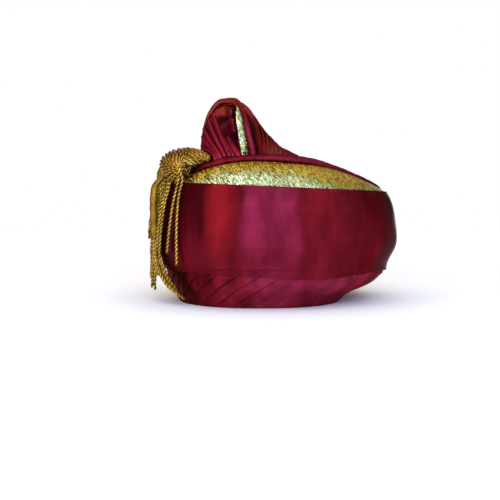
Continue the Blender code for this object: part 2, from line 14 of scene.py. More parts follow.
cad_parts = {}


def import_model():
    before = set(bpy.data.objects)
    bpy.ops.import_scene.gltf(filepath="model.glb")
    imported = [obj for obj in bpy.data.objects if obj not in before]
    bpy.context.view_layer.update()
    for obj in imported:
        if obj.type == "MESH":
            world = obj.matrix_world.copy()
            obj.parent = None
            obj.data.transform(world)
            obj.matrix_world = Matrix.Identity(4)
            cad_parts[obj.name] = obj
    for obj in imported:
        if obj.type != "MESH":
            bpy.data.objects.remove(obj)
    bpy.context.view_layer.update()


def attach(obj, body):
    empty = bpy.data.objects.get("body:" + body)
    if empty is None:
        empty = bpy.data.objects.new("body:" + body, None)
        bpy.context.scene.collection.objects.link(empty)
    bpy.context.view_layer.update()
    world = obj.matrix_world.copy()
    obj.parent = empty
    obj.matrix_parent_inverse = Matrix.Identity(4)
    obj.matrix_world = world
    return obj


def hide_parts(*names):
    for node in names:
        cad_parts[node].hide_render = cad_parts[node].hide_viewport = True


def table(columns, rows):
    """Rows of numbers that are read by the names of their columns."""
    kind = namedtuple("Row", columns)
    return tuple(kind(*row) for row in rows)


# Head opening, rim and ring shape
HEAD_WIDTH = 0.154
HEAD_DEPTH = 0.174
RIM_WIDTH = 0.007
HEM_HEIGHT = 0.012
OVAL = 2.3
SWELL_LEFT = 0.016
SWELL_RIGHT = 0.055
SWELL_FRONT = 0.025
SWELL_BACK = 0.025

# Heights
WRAP_HEIGHT = 0.0315
BAND_HEIGHT = 0.0815
FOOT_DROP = 0.002
TOP_DROP = 0.005
PANEL_HEIGHT = 0.024
CROWN_RISE = 0.002

# Cloth
BAND_WALL = 0.0022
PANEL_WALL = 0.0016
HOOD_WALL = 0.0018
CLEARANCE = 0.0005
TUCK = 0.010

# Lower pleats, piping and crown
WRAP_PLEATS = 34
WRAP_PLEAT_DEPTH = 0.0014
PIPE_RADIUS = 0.0031
PIPE_TAPER = 0.30
PANEL_SWELL = 0.10
PIPE_LIFT = 0.0024
CROWN_PLEATS = 20
CROWN_PLEAT_DEPTH = 0.0014

# Hood
HOOD_LENGTH = 0.098
HOOD_DEPTH = 0.072
HOOD_HEIGHT = 0.058
HOOD_MIDDLE = 0.044
HOOD_SIDE = -0.0585
HOOD_PEAK_SHARE = 0.36
HOOD_FOOT_SHARE = 0.033
HOOD_ROUNDNESS = 2.25
HOOD_TWIST = 0.30
ROLL_RADIUS = 0.0026
STRIP_WIDTH = 0.0075

# Tassel
LOCK_RADIUS = 0.0024
LOCK_CLEARANCE = 0.0006
FAN_THICK = 0.0108
FAN_BREADTH = 0.018
TASSEL_STAND = 0.0152

# Sizes that follow from the ones above
RIM_SIDE = HEAD_WIDTH / 2 + RIM_WIDTH
RIM_FRONT = HEAD_DEPTH / 2 + RIM_WIDTH
BAND_LEFT = RIM_SIDE + SWELL_LEFT
BAND_RIGHT = RIM_SIDE + SWELL_RIGHT
BAND_FRONT = RIM_FRONT + SWELL_FRONT
BAND_BACK = RIM_FRONT + SWELL_BACK
BAND_TOP = WRAP_HEIGHT + BAND_HEIGHT
CROWN_TOP = BAND_TOP + PIPE_LIFT + PANEL_HEIGHT + CROWN_RISE
HEAD_X = (BAND_LEFT + TASSEL_STAND - BAND_RIGHT) / 2

WRAP_SECTIONS = table("height spread", (
    (0, 0), (0.22, 0.24), (0.53, 0.66), (0.82, 0.9), (0.97, 1),
))

BAND_SECTIONS = table("height side front", (
    (0, 0.94, 0.967), (0.09, 0.96, 0.979), (0.19, 0.983, 0.991), (0.3, 0.997, 0.999),
    (0.42, 1, 1), (0.62, 0.99, 0.998), (0.8, 0.972, 0.99), (0.92, 0.948, 0.977), (1, 0.92, 0.962),
))

CROWN_LINE = table("degrees reach rise", (
    (0, 1, 0), (30, 1, 0), (60, 1, 0.03), (90, 1, 0.06), (120, 1, 0.05), (150, 1, 0.03),
    (180, 1, 0.05), (205, 0.97, 0.08), (230, 0.87, 0.46), (250, 0.8, 0.85), (270, 0.78, 1.03),
    (290, 0.79, 0.95), (310, 0.83, 0.77), (330, 0.9, 0.47), (345, 0.97, 0.17),
))

HOOD_CURVES = table("front_x front_y peak_x peak_y top back_x back_y", (
    (0.535, 0.04, 0.26, 0.32, 0.985, 0, 0.4), (0.61, 0.01, 0.335, 0.42, 0.88, 0.05, 0.62),
    (0.685, 0, 0.418, 0.48, 0.62, 0.16, 0.84), (0.765, 0.01, 0.515, 0.5, 0.405, 0.31, 0.96),
    (0.845, 0.03, 0.63, 0.47, 0.24, 0.49, 0.94), (0.925, 0.07, 0.775, 0.42, 0.13, 0.69, 0.8),
    (0.985, 0.16, 0.935, 0.34, 0.04, 0.89, 0.5),
))

# The part's narrow pleats at the mouth, and one more at their side
LEAVES = table("foot_x foot_y tip_x tip_y top width", (
    (0.175, -0.02, 0.015, 0.22, 0.21, 0.0051), (0.215, -0.03, 0.035, 0.22, 0.49, 0.0051),
    (0.255, -0.04, 0.075, 0.21, 0.65, 0.0051), (0.3, -0.04, 0.125, 0.2, 0.73, 0.0051),
    (0.34, -0.03, 0.165, 0.18, 0.54, 0.0051), (0.4, -0.02, 0.275, 0.12, 0.34, 0.0095),
    (0.195, 0, 0.022, 0.24, 0.36, 0.006),
))

ROLL_SECTIONS = table("turn size", (
    (0, 1), (0.06, 1), (0.13, 1), (0.2, 0.95), (0.27, 0.85), (0.34, 0.7), (0.4, 0.45),
))

STRIP_SECTIONS = table("x y top width", (
    (0.45, 0.02, 0, 1), (0.415, 0.05, 0.34, 1), (0.385, 0.1, 0.64, 0.8),
    (0.368, 0.14, 0.82, 0.25),
))

HEAD_LINE = table("x y z size", (
    (3.4, -0.57, 1.66, 0.34), (2.92, -0.545, 1.9, 0.56), (2.32, -0.5, 1.88, 0.86),
    (1.55, -0.425, 1.78, 0.98), (0.84, -0.362, 1.36, 0.95), (0.32, -0.318, 0.56, 0.72),
    (0, -0.285, -0.4, 0.5),
))

CORD_LOCKS = table("front top_angle end_angle end_height layer girth curl", (
    (False, 195, 184, 0.53, 0.84, 1.05, 0), (False, 196, 189, 0.32, 0.55, 1.15, 0),
    (False, 198, 187, 0.17, 0.86, 1, 0), (False, 199, 193, 0.05, 0.62, 1, 0),
    (False, 200, 197, 0.25, 0.32, 1.2, 0), (False, 202, 202, 0.2, 0.22, 1.2, 0),
    (False, 203, 227, 0.045, 0.34, 1.5, 1), (False, 203, 224, 0.06, 0.44, 1.5, 1),
    (False, 203, 220, 0.08, 0.4, 1.5, 1), (True, 227.5, 227.5, 0.35, 0.02, 0.62, 0),
    (True, 224, 219, 0.44, 0.1, 0.7, 0), (True, 214, 205, 0.23, 0.24, 0.8, 0),
    (True, 211, 203, 0.33, 0.36, 0.8, 0), (True, 209, 200, 0.16, 0.46, 0.8, 0),
    (True, 206, 197, 0.26, 0.56, 0.8, 0), (True, 203, 195, 0.12, 0.68, 0.8, 0),
    (True, 200, 190, 0.4, 0.78, 0.8, 0),
))

# The band's lower edge: its lift, the width of its hem, and how much of the hem's fold shows
FOOT_LINE = table("degrees lift hem fold", (
    (0, 0.0006, 0.007, 0.15), (90, 0, 0.006, 0.6), (180, 0, 0.0034, 0.9), (225, 0.0004, 0.003, 1),
    (248, 0.0004, 0.005, 1), (262, 0.0002, 0.0062, 0.9), (278, -0.0006, 0.0072, 0.45),
    (298, -0.0018, 0.0085, 0.1), (318, 0.002, 0.009, 0.1), (332, 0.0032, 0.0085, 0.15),
    (348, 0.0018, 0.0075, 0.15),
))

# The piping's fullness and lift, on top of the solid's
PIPE_FULLNESS = table("degrees full lift", (
    (0, 1, 0), (90, 1, 0), (180, 1, 0), (212, 1.25, 0.001), (225, 1.32, 0.0014),
    (238, 1.16, 0.0006), (250, 1.12, -0.0004), (270, 1.2, -0.0008), (285, 1.48, 0.0005),
    (300, 1.42, 0.0022), (312, 1.1, 0.0016), (330, 1, -0.0008), (345, 1, -0.001),
))

# Detail that only the looks have
RING_COLUMNS = 320
HEM_STEPS = (0.0, 0.3, 0.6, 0.86, 0.95, 1.0, 1.04)
UPPER_STEPS = 40
FOLD_STEPS = (0.0, 0.35, 0.7, 1.0)
FOLD_SHARE = 0.992  # share of the band's height at which its top fold starts
SIDE_BULGE = 0.0042  # how far the foot of the band bulges beside the tassel
SIDE_TUCK = 0.0040  # how far it is drawn in at the other side
WRAP_TUCK = 0.0058  # how far the wrap is drawn in there
BAND_CLOTH = 0.0014  # thickness of the folded satin
DRAPE = 0.00078  # how far the satin's slow waves stand out
CREASE_X = 0.0247  # a pressed crease up the front, past which the satin turns away
CREASE_DEPTH = 0.0009
CREASE_WIDTH = 0.012
HEM_FOLD = 0.0008  # how far the band's upper layer stands over its hem
PLEAT_SLANT = 27.0  # degrees round the ring that a pleat covers on its way up
PLEAT_PHASES = (0.0, 0.12, 0.25, 0.38, 0.50, 0.62, 0.72, 0.80, 0.86, 0.90, 0.915, 0.93, 0.95, 0.975)
HEM_ROWS = (  # share of the rim's width and height, inside and under the rim
    (1.0, HEM_HEIGHT), (1.0, HEM_HEIGHT * 0.6), (1.0, HEM_HEIGHT * 0.2), (1.0, 0.0004),
    (0.93, 0.0), (0.45, 0.0),
)
WRAP_STEPS = 26
TUCK_STEPS = (0.0, 1 / 3, 0.66, 0.95)
PANEL_STEPS = 21
PIPING_COLUMNS = 560
PIPING_SIDES = 16
PIPING_WRAPS = 6.375  # turns of the twist for each radian round the crown
CROWN_COLUMNS = 360
CROWN_STEPS = 34
HOOD_COLUMNS = 120
HOOD_PLEATS = 12  # nested pleats from the mouth to the tail
HOOD_PHASES = (0.0, 0.2, 0.4, 0.6, 0.75, 0.85, 0.90, 0.92, 0.94, 0.97)
HOOD_PLEAT_DEPTH = 0.105  # share of the arch that a pleat stands out
MOUTH_PULL = 0.0028  # how far the mouth's right edge lies inside the pleats behind it
HOLLOW_DEPTH = 0.0110  # how far the cloth inside the mouth sags back
HOLLOW_COLUMNS = 46
LIP_RADIUS = 0.0028  # the rolled edge of the hood's mouth
LIP_STEPS = 9
LIP_CURL = radians(205)
LEAF_COLUMNS = 10
LEAF_STEPS = 22
LEAF_DEPTH = 0.0090
ROLL_STEPS = 70
ROLL_SIDES = 14
STRIP_STEPS = 30
CORD_RADIUS = 0.00128  # a tassel cord
CORD_PITCH = 0.0040  # length of one twist of a cord
TWIST_STEPS = 7
CORD_SIDES = 8
FLAT_LOCK = 0.0072  # width of the flat outer lock
FLAT_LINE = (  # the line that its middle follows
    (-0.1035, -0.0500, 0.1250), (-0.1100, -0.0520, 0.1185), (-0.1140, -0.0520, 0.1110),
    (-0.1149, -0.0510, 0.0960), (-0.1152, -0.0490, 0.0800), (-0.1148, -0.0470, 0.0620),
)
FAN_CORDS = 27
HEAD_CORDS = 31  # cords that spring from the tassel's knot
CORE_SIDES = 20
CORE_STEPS = 24
KNOT = Vector((-0.0838, -0.0745, 0.1335))
HEAD_REACH = Vector((0.0245, 0.0165, 0.0172))
UP = Vector((0, 0, 1))
WHITE = (1.0, 1.0, 1.0)
RED_EDGE = (0.24, 0.020, 0.045)
FLOOR_RADIUS = 1.7
FLOOR_SIDES = 96

# Camera and the height that the photograph was taken from
CAMERA_DISTANCE = 0.900
CAMERA_ELEVATION = 3.5
CAMERA_LENS = 62.9
CAMERA_TARGET = Vector((-0.022145, 0.0, 0.048719))


# Reading tables

def blend(first, second, share):
    return first + (second - first) * share


def clamp(share):
    return min(1.0, max(0.0, share))


def smooth(share):
    share = clamp(share)
    return share * share * (3 - 2 * share)


def arc(share):
    """Nothing at both ends and one in the middle."""
    return 4 * share * (1 - share)


def bell(value, width):
    """One where the value is nothing, and close to nothing two widths away."""
    return exp(-(value / width) ** 2)


def degrees_past(angle, start):
    """Degrees from a start to an angle, from -180 to 180."""
    return (degrees(angle) - start + 180) % 360 - 180


def bent(start, end, slope_in, slope_out, part):
    """A smooth curve from start to end that has the given slopes at its ends."""
    bend = 2 * (start - end) + slope_in + slope_out
    return start + part * (slope_in + part * (3 * (end - start) - 2 * slope_in - slope_out + part * bend))


def between(rows, value):
    """Read the second column of a table at a value of its first, in a straight line between rows."""
    for (start, low), (end, high) in zip(rows, rows[1:]):
        if value <= end:
            return blend(low, high, max(0.0, (value - start) / (end - start)))
    return rows[-1][1]


def eased(rows, value):
    """Read a table at a value of its first column, on a smooth curve through the rows."""
    keys = [row[0] for row in rows]
    index = max(i for i in range(len(keys) - 1) if i == 0 or value >= keys[i])
    span = keys[index + 1] - keys[index]
    part = clamp((value - keys[index]) / span)
    values = []
    for numbers in zip(*rows):
        slopes = []
        for at in (index, index + 1):
            low, high = max(at - 1, 0), min(at + 1, len(keys) - 1)
            slopes.append((numbers[high] - numbers[low]) / (keys[high] - keys[low]) * span)
        values.append(bent(numbers[index], numbers[index + 1], *slopes, part))
    return type(rows[0])(*values)


def curve_through(rows, share):
    """Read rows of numbers as one smooth curve through them, at a share of its length."""
    place_on = share * (len(rows) - 1)
    index = min(int(place_on), len(rows) - 2)
    near = (rows[max(index - 1, 0)], rows[index], rows[index + 1], rows[min(index + 2, len(rows) - 1)])
    return [bent(b, c, (c - a) / 2, (d - b) / 2, place_on - index) for a, b, c, d in zip(*near)]


def read_curve(rows, share):
    """Read a table as one smooth curve, at a share of its length."""
    return type(rows[0])(*curve_through(rows, share))


def round_curve(rows, angle):
    """Read a table of a closed ring as one smooth curve, at an angle."""
    where = degrees(angle) % 360
    ring = [(rows[-1][0] - 360,) + rows[-1][1:], *rows]
    ring += [(row[0] + 360,) + row[1:] for row in rows[:2]]
    for index in range(1, len(ring) - 2):
        start, end = ring[index][0], ring[index + 1][0]
        if start <= where <= end:
            part = (where - start) / (end - start)
            ends = [row[1:] for row in ring[index - 1:index + 3]]
            return type(rows[0])(where, *curve_through(ends, (1 + part) / 3))
    return rows[0]


# The turban's surfaces, as in the part's source

def ring_reach(angle, left, right, front, back):
    """Distance from the head axis to a rounded oval with its own reach to each side."""
    across = cos(angle) / (right if cos(angle) > 0 else left)
    along = sin(angle) / (back if sin(angle) > 0 else front)
    return (abs(across) ** OVAL + abs(along) ** OVAL) ** (-1 / OVAL)


def place(angle, reach, height):
    return Vector((HEAD_X + reach * cos(angle), reach * sin(angle), height))


def rim_reach(angle):
    return ring_reach(angle, RIM_SIDE, RIM_SIDE, RIM_FRONT, RIM_FRONT)


def band_reach(angle, share):
    row = eased(BAND_SECTIONS, share)
    return ring_reach(
        angle, BAND_LEFT * row.side, BAND_RIGHT * row.side, BAND_FRONT * row.front, BAND_BACK * row.front)


def behind_band(angle, share):
    return band_reach(angle, share) - BAND_WALL - CLEARANCE


def band_height(angle, share):
    foot = WRAP_HEIGHT - FOOT_DROP * cos(angle)
    top = BAND_TOP - TOP_DROP * cos(angle)
    return blend(foot, top, share)


def pipe_radius(angle):
    return PIPE_RADIUS * (1 - PIPE_TAPER * max(0.0, cos(angle)))


def crown_line(angle):
    """Reach and height of the piping's middle."""
    row = round_curve(CROWN_LINE, angle)
    lip = behind_band(angle, 1.0) - PANEL_WALL - CLEARANCE - pipe_radius(angle)
    return lip * row.reach, band_height(angle, 1.0) + PIPE_LIFT + PANEL_HEIGHT * row.rise


def crown_edge(angle):
    return crown_line(angle)[0] - pipe_radius(angle) - CLEARANCE


def crown_height(angle, share):
    return blend(CROWN_TOP, crown_line(angle)[1], share ** 2)


def crown_fold(angle, share):
    phase = (angle / tau * CROWN_PLEATS) % 1.0
    ridge = max(0.0, 1 - 3 * min(phase, 1 - phase))
    return CROWN_PLEAT_DEPTH * ridge * min(1.0, 4 * (1 - share))


def crown_under(x, y):
    angle = atan2(y, x - HEAD_X)
    share = min(1.0, hypot(x - HEAD_X, y) / crown_edge(angle))
    return crown_height(angle, share) + crown_fold(angle, share)


def seat_height(x, y):
    """Height at which a wall stands clear of the crown, whose pleats rise towards the middle."""
    nearer = max(0.0, 1 - HOOD_WALL / hypot(x - HEAD_X, y))
    inside = crown_under(blend(HEAD_X, x, nearer), y * nearer)
    return max(crown_under(x, y), inside) + CLEARANCE


def hood_place(x_share, y_share, top_share):
    """A point of the hood: shares of its length, depth and height, seated on the crown."""
    x = HEAD_X + HOOD_SIDE + HOOD_LENGTH * x_share
    y = -HOOD_MIDDLE - HOOD_DEPTH * (HOOD_PEAK_SHARE - y_share)
    seat = seat_height(x, y)
    height = max(seat, CROWN_TOP + HOOD_HEIGHT * top_share)
    return Vector((x, y, blend(seat, height, min(1.0, top_share / HOOD_FOOT_SHARE))))


def hood_arch_point(arch, turn, stand):
    """A point on an arch: turn runs from 0 at the front foot to 1 at the back foot."""
    front = Vector((arch.front_x, arch.front_y))
    back = Vector((arch.back_x, arch.back_y))
    pull = Vector((arch.peak_x, arch.peak_y)) * 2 - (front + back) / 2
    angle = pi * turn
    side = copysign(abs(cos(angle)) ** (2 / HOOD_ROUNDNESS), cos(angle)) * (1 + stand)
    share = (1 - side) / 2
    plan = front * (1 - share) ** 2 + pull * 2 * share * (1 - share) + back * share ** 2
    rise = sin(angle) ** (2 / HOOD_ROUNDNESS) if 0 < turn < 1 else 0.0
    return hood_place(plan.x, plan.y, arch.top * rise * (1 + stand * 0.6))


def wall_reach(angle, height):
    """Reach of the outer surface, band or lower wrap, at a height."""
    foot = band_height(angle, 0.0)
    if height >= foot:
        return band_reach(angle, (height - foot) / (band_height(angle, 1.0) - foot))
    return blend(rim_reach(angle), band_reach(angle, 0.0), between(WRAP_SECTIONS, height / foot))


# Meshes

def steps_of(points, round_trip):
    """Distance along a row of points, from its first."""
    total = [0.0]
    for start, end in zip(points, points[1:] + ([points[0]] if round_trip else [])):
        total.append(total[-1] + (end - start).length)
    return total


class Cloth:
    """Gathers grids of points into one mesh, with UVs in metres: U along a row, V across rows."""

    def __init__(self):
        self.points = []
        self.faces = []
        self.places = []
        self.marks = []

    def add(self, rows, round_rows=False, round_columns=False, marks=()):
        first = len(self.points)
        width, count = len(rows[0]), len(rows)
        across = [steps_of(row, round_rows) for row in rows]
        across = [[far - row[-1] / 2 for far in row] for row in across]
        along = [steps_of([row[column] for row in rows], round_columns) for column in range(width)]
        for row in rows:
            self.points.extend(tuple(point) for point in row)
        for row in marks:
            self.marks.extend(row)
        for i in range(count if round_columns else count - 1):
            for j in range(width if round_rows else width - 1):
                up, over = (i + 1) % count, (j + 1) % width
                self.faces.append((
                    first + i * width + j, first + i * width + over,
                    first + up * width + over, first + up * width + j))
                self.places.extend((
                    across[i][j], along[j][i], across[i][j + 1], along[over][i],
                    across[up][j + 1], along[over][i + 1], across[up][j], along[j][i + 1]))

    def cap(self, row_start, width):
        self.faces.append(tuple(range(row_start, row_start + width)))
        self.places.extend([0.0] * (2 * width))

    def build(self, name, material, nodes, wall=0.0):
        data = bpy.data.meshes.new(name)
        data.from_pydata(self.points, [], self.faces)
        layer = data.uv_layers.new(name="cloth")
        layer.data.foreach_set("uv", self.places)
        if self.marks:
            attribute = data.attributes.new("mark", "FLOAT", "POINT")
            attribute.data.foreach_set("value", self.marks)
        data.shade_smooth()
        data.materials.append(material)
        piece = add_object(name, data)
        if wall:
            thickness = piece.modifiers.new("wall", "SOLIDIFY")
            thickness.thickness = wall
            thickness.offset = -1.0
        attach(piece, "root")
        if nodes:
            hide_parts(*nodes)
        return piece


def add_object(name, data):
    added = bpy.data.objects.new(name, data)
    bpy.context.scene.collection.objects.link(added)
    return added


def ring_angles(count):
    return [tau * step / count for step in range(count)]


def shares(count):
    return [step / count for step in range(count + 1)]


def grid(firsts, seconds, point_at):
    """Rows of points, one row for each of the firsts."""
    return [[point_at(first, second) for second in seconds] for first in firsts]


def upright(columns):
    """The rows of a grid that was made column by column."""
    return [list(row) for row in zip(*columns)]


def spoke(turn, across, up):
    return across * cos(turn) + up * sin(turn)


def wave(point, size, seed):
    """Slow noise at a point, from -1 to 1. Size is the length of a wave."""
    return noise.noise(point / size + Vector((seed, seed * 1.7, seed * 0.3)))


# Satin band

def band_drape(angle, height):
    """How far the band's satin stands out in slow folds, which run up and down, and past its crease."""
    point = place(angle, 0.1, height)
    tall = Vector((point.x, point.y, point.z * 0.55))
    fine = Vector((point.x, point.y, point.z * 0.9))
    folds = wave(tall, 0.030, 3.1) + 0.55 * wave(fine, 0.019, 7.7) + 0.18 * wave(fine, 0.009, 1.9)
    past = place(angle, BAND_FRONT, height).x - CREASE_X
    crease = 0.0
    if past > 0 and point.y < 0:
        crease = CREASE_DEPTH * (1 - exp(-past / CREASE_WIDTH)) * (1 - smooth((past - 0.030) / 0.045))
    return DRAPE * folds - crease


def side_fullness(angle, share):
    """The soft cloth bulges at the foot of the band on the tassel's side and is drawn in across from it."""
    full = SIDE_BULGE * bell(degrees_past(angle, 196), 30) * (1 - smooth(share / 0.55))
    return full - SIDE_TUCK * bell(degrees_past(angle, 350), 34) * bell(share - 0.12, 0.16)


def band_point(angle, share, out):
    line = round_curve(FOOT_LINE, angle)
    height = band_height(angle, share) + line.lift * (1 - share) ** 3
    return place(angle, band_reach(angle, share) + side_fullness(angle, share) + out, height)


def band_column(angle):
    """The satin at one angle: up its outside, over its top fold, down its inside and round its foot."""
    line = round_curve(FOOT_LINE, angle)
    hem = line.hem / BAND_HEIGHT
    column = []
    for step in HEM_STEPS:
        share = hem * step
        upper = smooth((step - 0.93) / 0.07)
        drape = band_drape(angle, band_height(angle, share)) * smooth(share / 0.05)
        column.append(band_point(angle, share, drape - HEM_FOLD * (1 - upper) * line.fold))
    for step in shares(UPPER_STEPS)[1:]:
        share = blend(hem * HEM_STEPS[-1], FOLD_SHARE, step)
        fade = smooth((1 - share) / 0.04)
        column.append(band_point(angle, share, band_drape(angle, band_height(angle, share)) * fade))
    top = band_point(angle, FOLD_SHARE, 0.0).z
    radius = BAND_CLOTH / 2
    for step in FOLD_STEPS:
        turn = pi * blend(0.12, 0.9, step)
        reach = band_reach(angle, FOLD_SHARE) - radius * (1 - cos(turn))
        column.append(place(angle, reach, top + radius * 1.6 * sin(turn)))
    for step in shares(8):
        column.append(band_point(angle, blend(0.985, 0.0, step), -BAND_CLOTH))
    foot = band_point(angle, 0.0, -BAND_CLOTH).z
    radius = (BAND_CLOTH - HEM_FOLD * line.fold) / 2
    inner = band_reach(angle, 0.0) + side_fullness(angle, 0.0) - BAND_CLOTH
    for step in FOLD_STEPS:
        turn = pi * blend(0.1, 0.9, step)
        column.append(place(angle, inner + radius * (1 - cos(turn)), foot - radius * sin(turn)))
    return column


def make_band(satin):
    cloth = Cloth()
    rows = upright([band_column(angle) for angle in ring_angles(RING_COLUMNS)])
    cloth.add(rows, round_rows=True, round_columns=True)
    piece = cloth.build("band_cloth", satin, ["satin_band"])


# Lower wrap

def pleat_rise(phase):
    """Cross-section of a knife pleat: a slow rise, a rounded fold, then a sharp step back."""
    if phase < 0.9:
        return smooth(phase / 0.9) * 0.4 + (phase / 0.9) * 0.6
    return 1 - 1.35 * smooth((phase - 0.9) / 0.04) + 0.35 * smooth((phase - 0.94) / 0.06)


def pleat_strength(angle):
    """The pleats are crisp from the wearer's right to the front, and nearly flat past it."""
    turn = degrees_past(angle, 255)
    if turn <= 0:
        return 1.0
    if turn < 110:
        return blend(1.0, 0.30, smooth(turn / 45))
    return blend(0.30, 0.8, smooth((turn - 110) / 50))


def wrap_tuck(angle, share):
    """How far the wrap is drawn in under the band on the wearer's left."""
    return WRAP_TUCK * bell(degrees_past(angle, 345), 42) * bell(share - 0.30, 0.26)


def wrap_point(share, spread, turn, phase):
    """A point of a pleat, which slants round the foot on its way up."""
    angle = turn + radians(PLEAT_SLANT) * share
    inner = behind_band(angle, 0.0) - WRAP_PLEAT_DEPTH + side_fullness(angle, 0.0)
    reach = blend(rim_reach(angle) - WRAP_PLEAT_DEPTH, inner, min(1.0, spread))
    full = pleat_strength(angle) * smooth(share * 5)
    depth = WRAP_PLEAT_DEPTH * (1.25 * full * pleat_rise(phase) + 0.7 * (1 - full) * min(1.0, share * 5))
    depth -= wrap_tuck(angle, share)
    point = place(angle, reach + depth, band_height(angle, 0.0) * share)
    depth += 0.0004 * wave(point, 0.011, 2.3) * smooth(share * 4)
    return place(angle, reach + depth, point.z)


def tuck_point(share, turn):
    """A point of the pleats' flat upper end, which lies behind the band."""
    angle = turn + radians(PLEAT_SLANT)
    reach = behind_band(angle, share) - WRAP_PLEAT_DEPTH / 2 + side_fullness(angle, share)
    return place(angle, reach, band_height(angle, share) + 0.0002)


def make_wrap(satin):
    """The cloth runs from its hem inside the rim, round the rim and up in pleats to its tuck."""
    cloth = Cloth()
    columns = [
        (tau * (pleat + phase) / WRAP_PLEATS, phase)
        for pleat in range(WRAP_PLEATS) for phase in PLEAT_PHASES]
    turns = [turn for turn, phase in columns]
    rows = [
        [place(turn, rim_reach(turn) - RIM_WIDTH * inward, height) for turn in turns]
        for inward, height in HEM_ROWS]
    for step in shares(WRAP_STEPS):
        share = step * 0.985
        spread = eased(WRAP_SECTIONS, share * 0.97 / 0.985).spread
        rows.append([wrap_point(share, spread, turn, phase) for turn, phase in columns])
    rows += grid([TUCK * deep / BAND_HEIGHT for deep in TUCK_STEPS], turns, tuck_point)
    cloth.add(rows, round_rows=True)
    piece = cloth.build("wrap_cloth", satin, ["lower_wrap"], wall=0.0012)


# Piping and gold brocade

def piping_line(angle):
    """Middle and radius of the soft roll, which is fuller and a little higher under the hood's tail."""
    reach, height = crown_line(angle)
    full = round_curve(PIPE_FULLNESS, angle)
    return reach, height + full.lift, pipe_radius(angle) * full.full


def make_piping(satin):
    """A roll of satin, twisted so that its wraps run slantwise, and fuller under the hood."""
    cloth = Cloth()
    rows = []
    for angle in ring_angles(PIPING_COLUMNS):
        reach, height, radius = piping_line(angle)
        middle = place(angle, reach, height)
        out = Vector((cos(angle), sin(angle), 0))
        row = []
        for turn in ring_angles(PIPING_SIDES):
            wrap = (turn / tau + angle * PIPING_WRAPS) % 1.0
            crease = -0.10 * bell(wrap - 0.5, 0.10)
            base = middle + spoke(turn, out, UP) * radius
            uneven = 0.10 * wave(base, 0.010, 4.4) + 0.05 * wave(base, 0.004, 8.1)
            row.append(middle + spoke(turn, out, UP) * radius * (1 + crease + uneven))
        rows.append(row)
    cloth.add(rows, round_rows=True, round_columns=True)
    piece = cloth.build("piping_roll", satin, ["rolled_piping"])


def painted_highlight_fade(angle):
    """Painted highlight: the pale glitter is painted strongest at the front and gives way to ochre at both
    ends.
    """
    where = degrees(angle)
    return 0.40 * smooth((252 - where) / 24) + 0.40 * smooth((where - 280) / 32)


def brocade_column(angle):
    """The brocade at one angle, from its tuck behind the band up over its swell to the piping."""
    lip, foot = behind_band(angle, 1.0), band_height(angle, 1.0)
    tuck_share = 1 - TUCK / BAND_HEIGHT
    deep, low = behind_band(angle, tuck_share), band_height(angle, tuck_share)
    reach, height, radius = piping_line(angle)
    edge = reach + radius * 0.9 + CLEARANCE
    top = max(height - radius * 0.80, foot + 0.0004)
    wide = clamp((lip - edge) / 0.02)
    column = [place(angle, deep, low), place(angle, blend(lip, deep, 0.5), blend(foot, low, 0.5))]
    for share in shares(PANEL_STEPS):
        across = blend(lip, edge, share) + PANEL_SWELL * (lip - edge) * arc(share) * 1.1
        rise = share + 0.12 * sin(pi * share)
        point = place(angle, across, blend(foot, top, min(1.0, rise)))
        gather = 0.0005 * wave(Vector((point.x, point.y, point.z * 0.4)), 0.008, 5.2)
        gather = (gather + 0.0007 * wave(point, 0.024, 1.2)) * arc(share) * wide
        column.append(place(angle, across + gather, point.z + gather))
    column.append(place(angle, edge - PANEL_WALL * 0.9, top - 0.0010))
    return column


def make_brocade(brocade):
    cloth = Cloth()
    angles = ring_angles(RING_COLUMNS)
    rows = upright([brocade_column(angle) for angle in angles])
    # painted reflection: the mark runs from pale at the panel's foot to ochre and orange at its top and
    # towards its ends
    marks = grid([0.0, 0.0, *shares(PANEL_STEPS), 1.0], angles, lambda share, angle: share + painted_highlight_fade(angle))
    cloth.add(rows, round_rows=True, marks=marks)
    piece = cloth.build("brocade_cloth", brocade, ["gold_panel"], wall=0.0008)


# Crown

def crown_point(share, angle):
    lean = angle + 0.25 * (1 - share) ** 2
    phase = (lean / tau * CROWN_PLEATS) % 1.0
    clear = min(1.0, 4 * (1 - share))
    fold = CROWN_PLEAT_DEPTH * pleat_rise(phase) * clear * min(1.0, share * 5)
    point = place(angle, crown_edge(angle) * share, crown_height(angle, share) + fold)
    point.z += 0.0006 * wave(point, 0.016, 6.0) * clear
    return point


def make_crown(satin):
    """The shallow top: knife pleats that run in from the edge to a small gathered middle."""
    cloth = Cloth()
    steps = [1 - step * 0.985 for step in shares(CROWN_STEPS)[:-1]]
    cloth.add(grid(steps, ring_angles(CROWN_COLUMNS), crown_point), round_rows=True)
    cloth.cap((CROWN_STEPS - 1) * CROWN_COLUMNS, CROWN_COLUMNS)
    piece = cloth.build("crown_cloth", satin, ["crown"], wall=0.001)


# Hood

def hood_turn(turn, along):
    return turn + HOOD_TWIST * (along - 0.5) * sin(pi * turn) ** 2 / 2


def mouth_pull(turn, along):
    """The mouth's right edge is drawn in, so that the pleats behind it show past it."""
    side = smooth(turn / 0.12) * (1 - smooth((turn - 0.34) / 0.16))
    return MOUTH_PULL * side * (1 - smooth(along / 0.14))


def hood_stand(turn, pleat, phase):
    """How far a nested pleat stands out, as a share of the arch. The tail is nearly smooth."""
    feet = smooth(turn * 7) * smooth((1 - turn) * 7)
    uneven = 1 + 0.40 * noise.noise(Vector((pleat * 3.7, turn * 3.0, 0.5)))
    ahead = smooth((pleat + phase) / 1.2)
    tail = blend(1.0, 0.22, smooth(((pleat + phase) / HOOD_PLEATS - 0.50) / 0.25))
    return HOOD_PLEAT_DEPTH * (pleat_rise(phase) * uneven - 0.55) * feet * ahead * tail


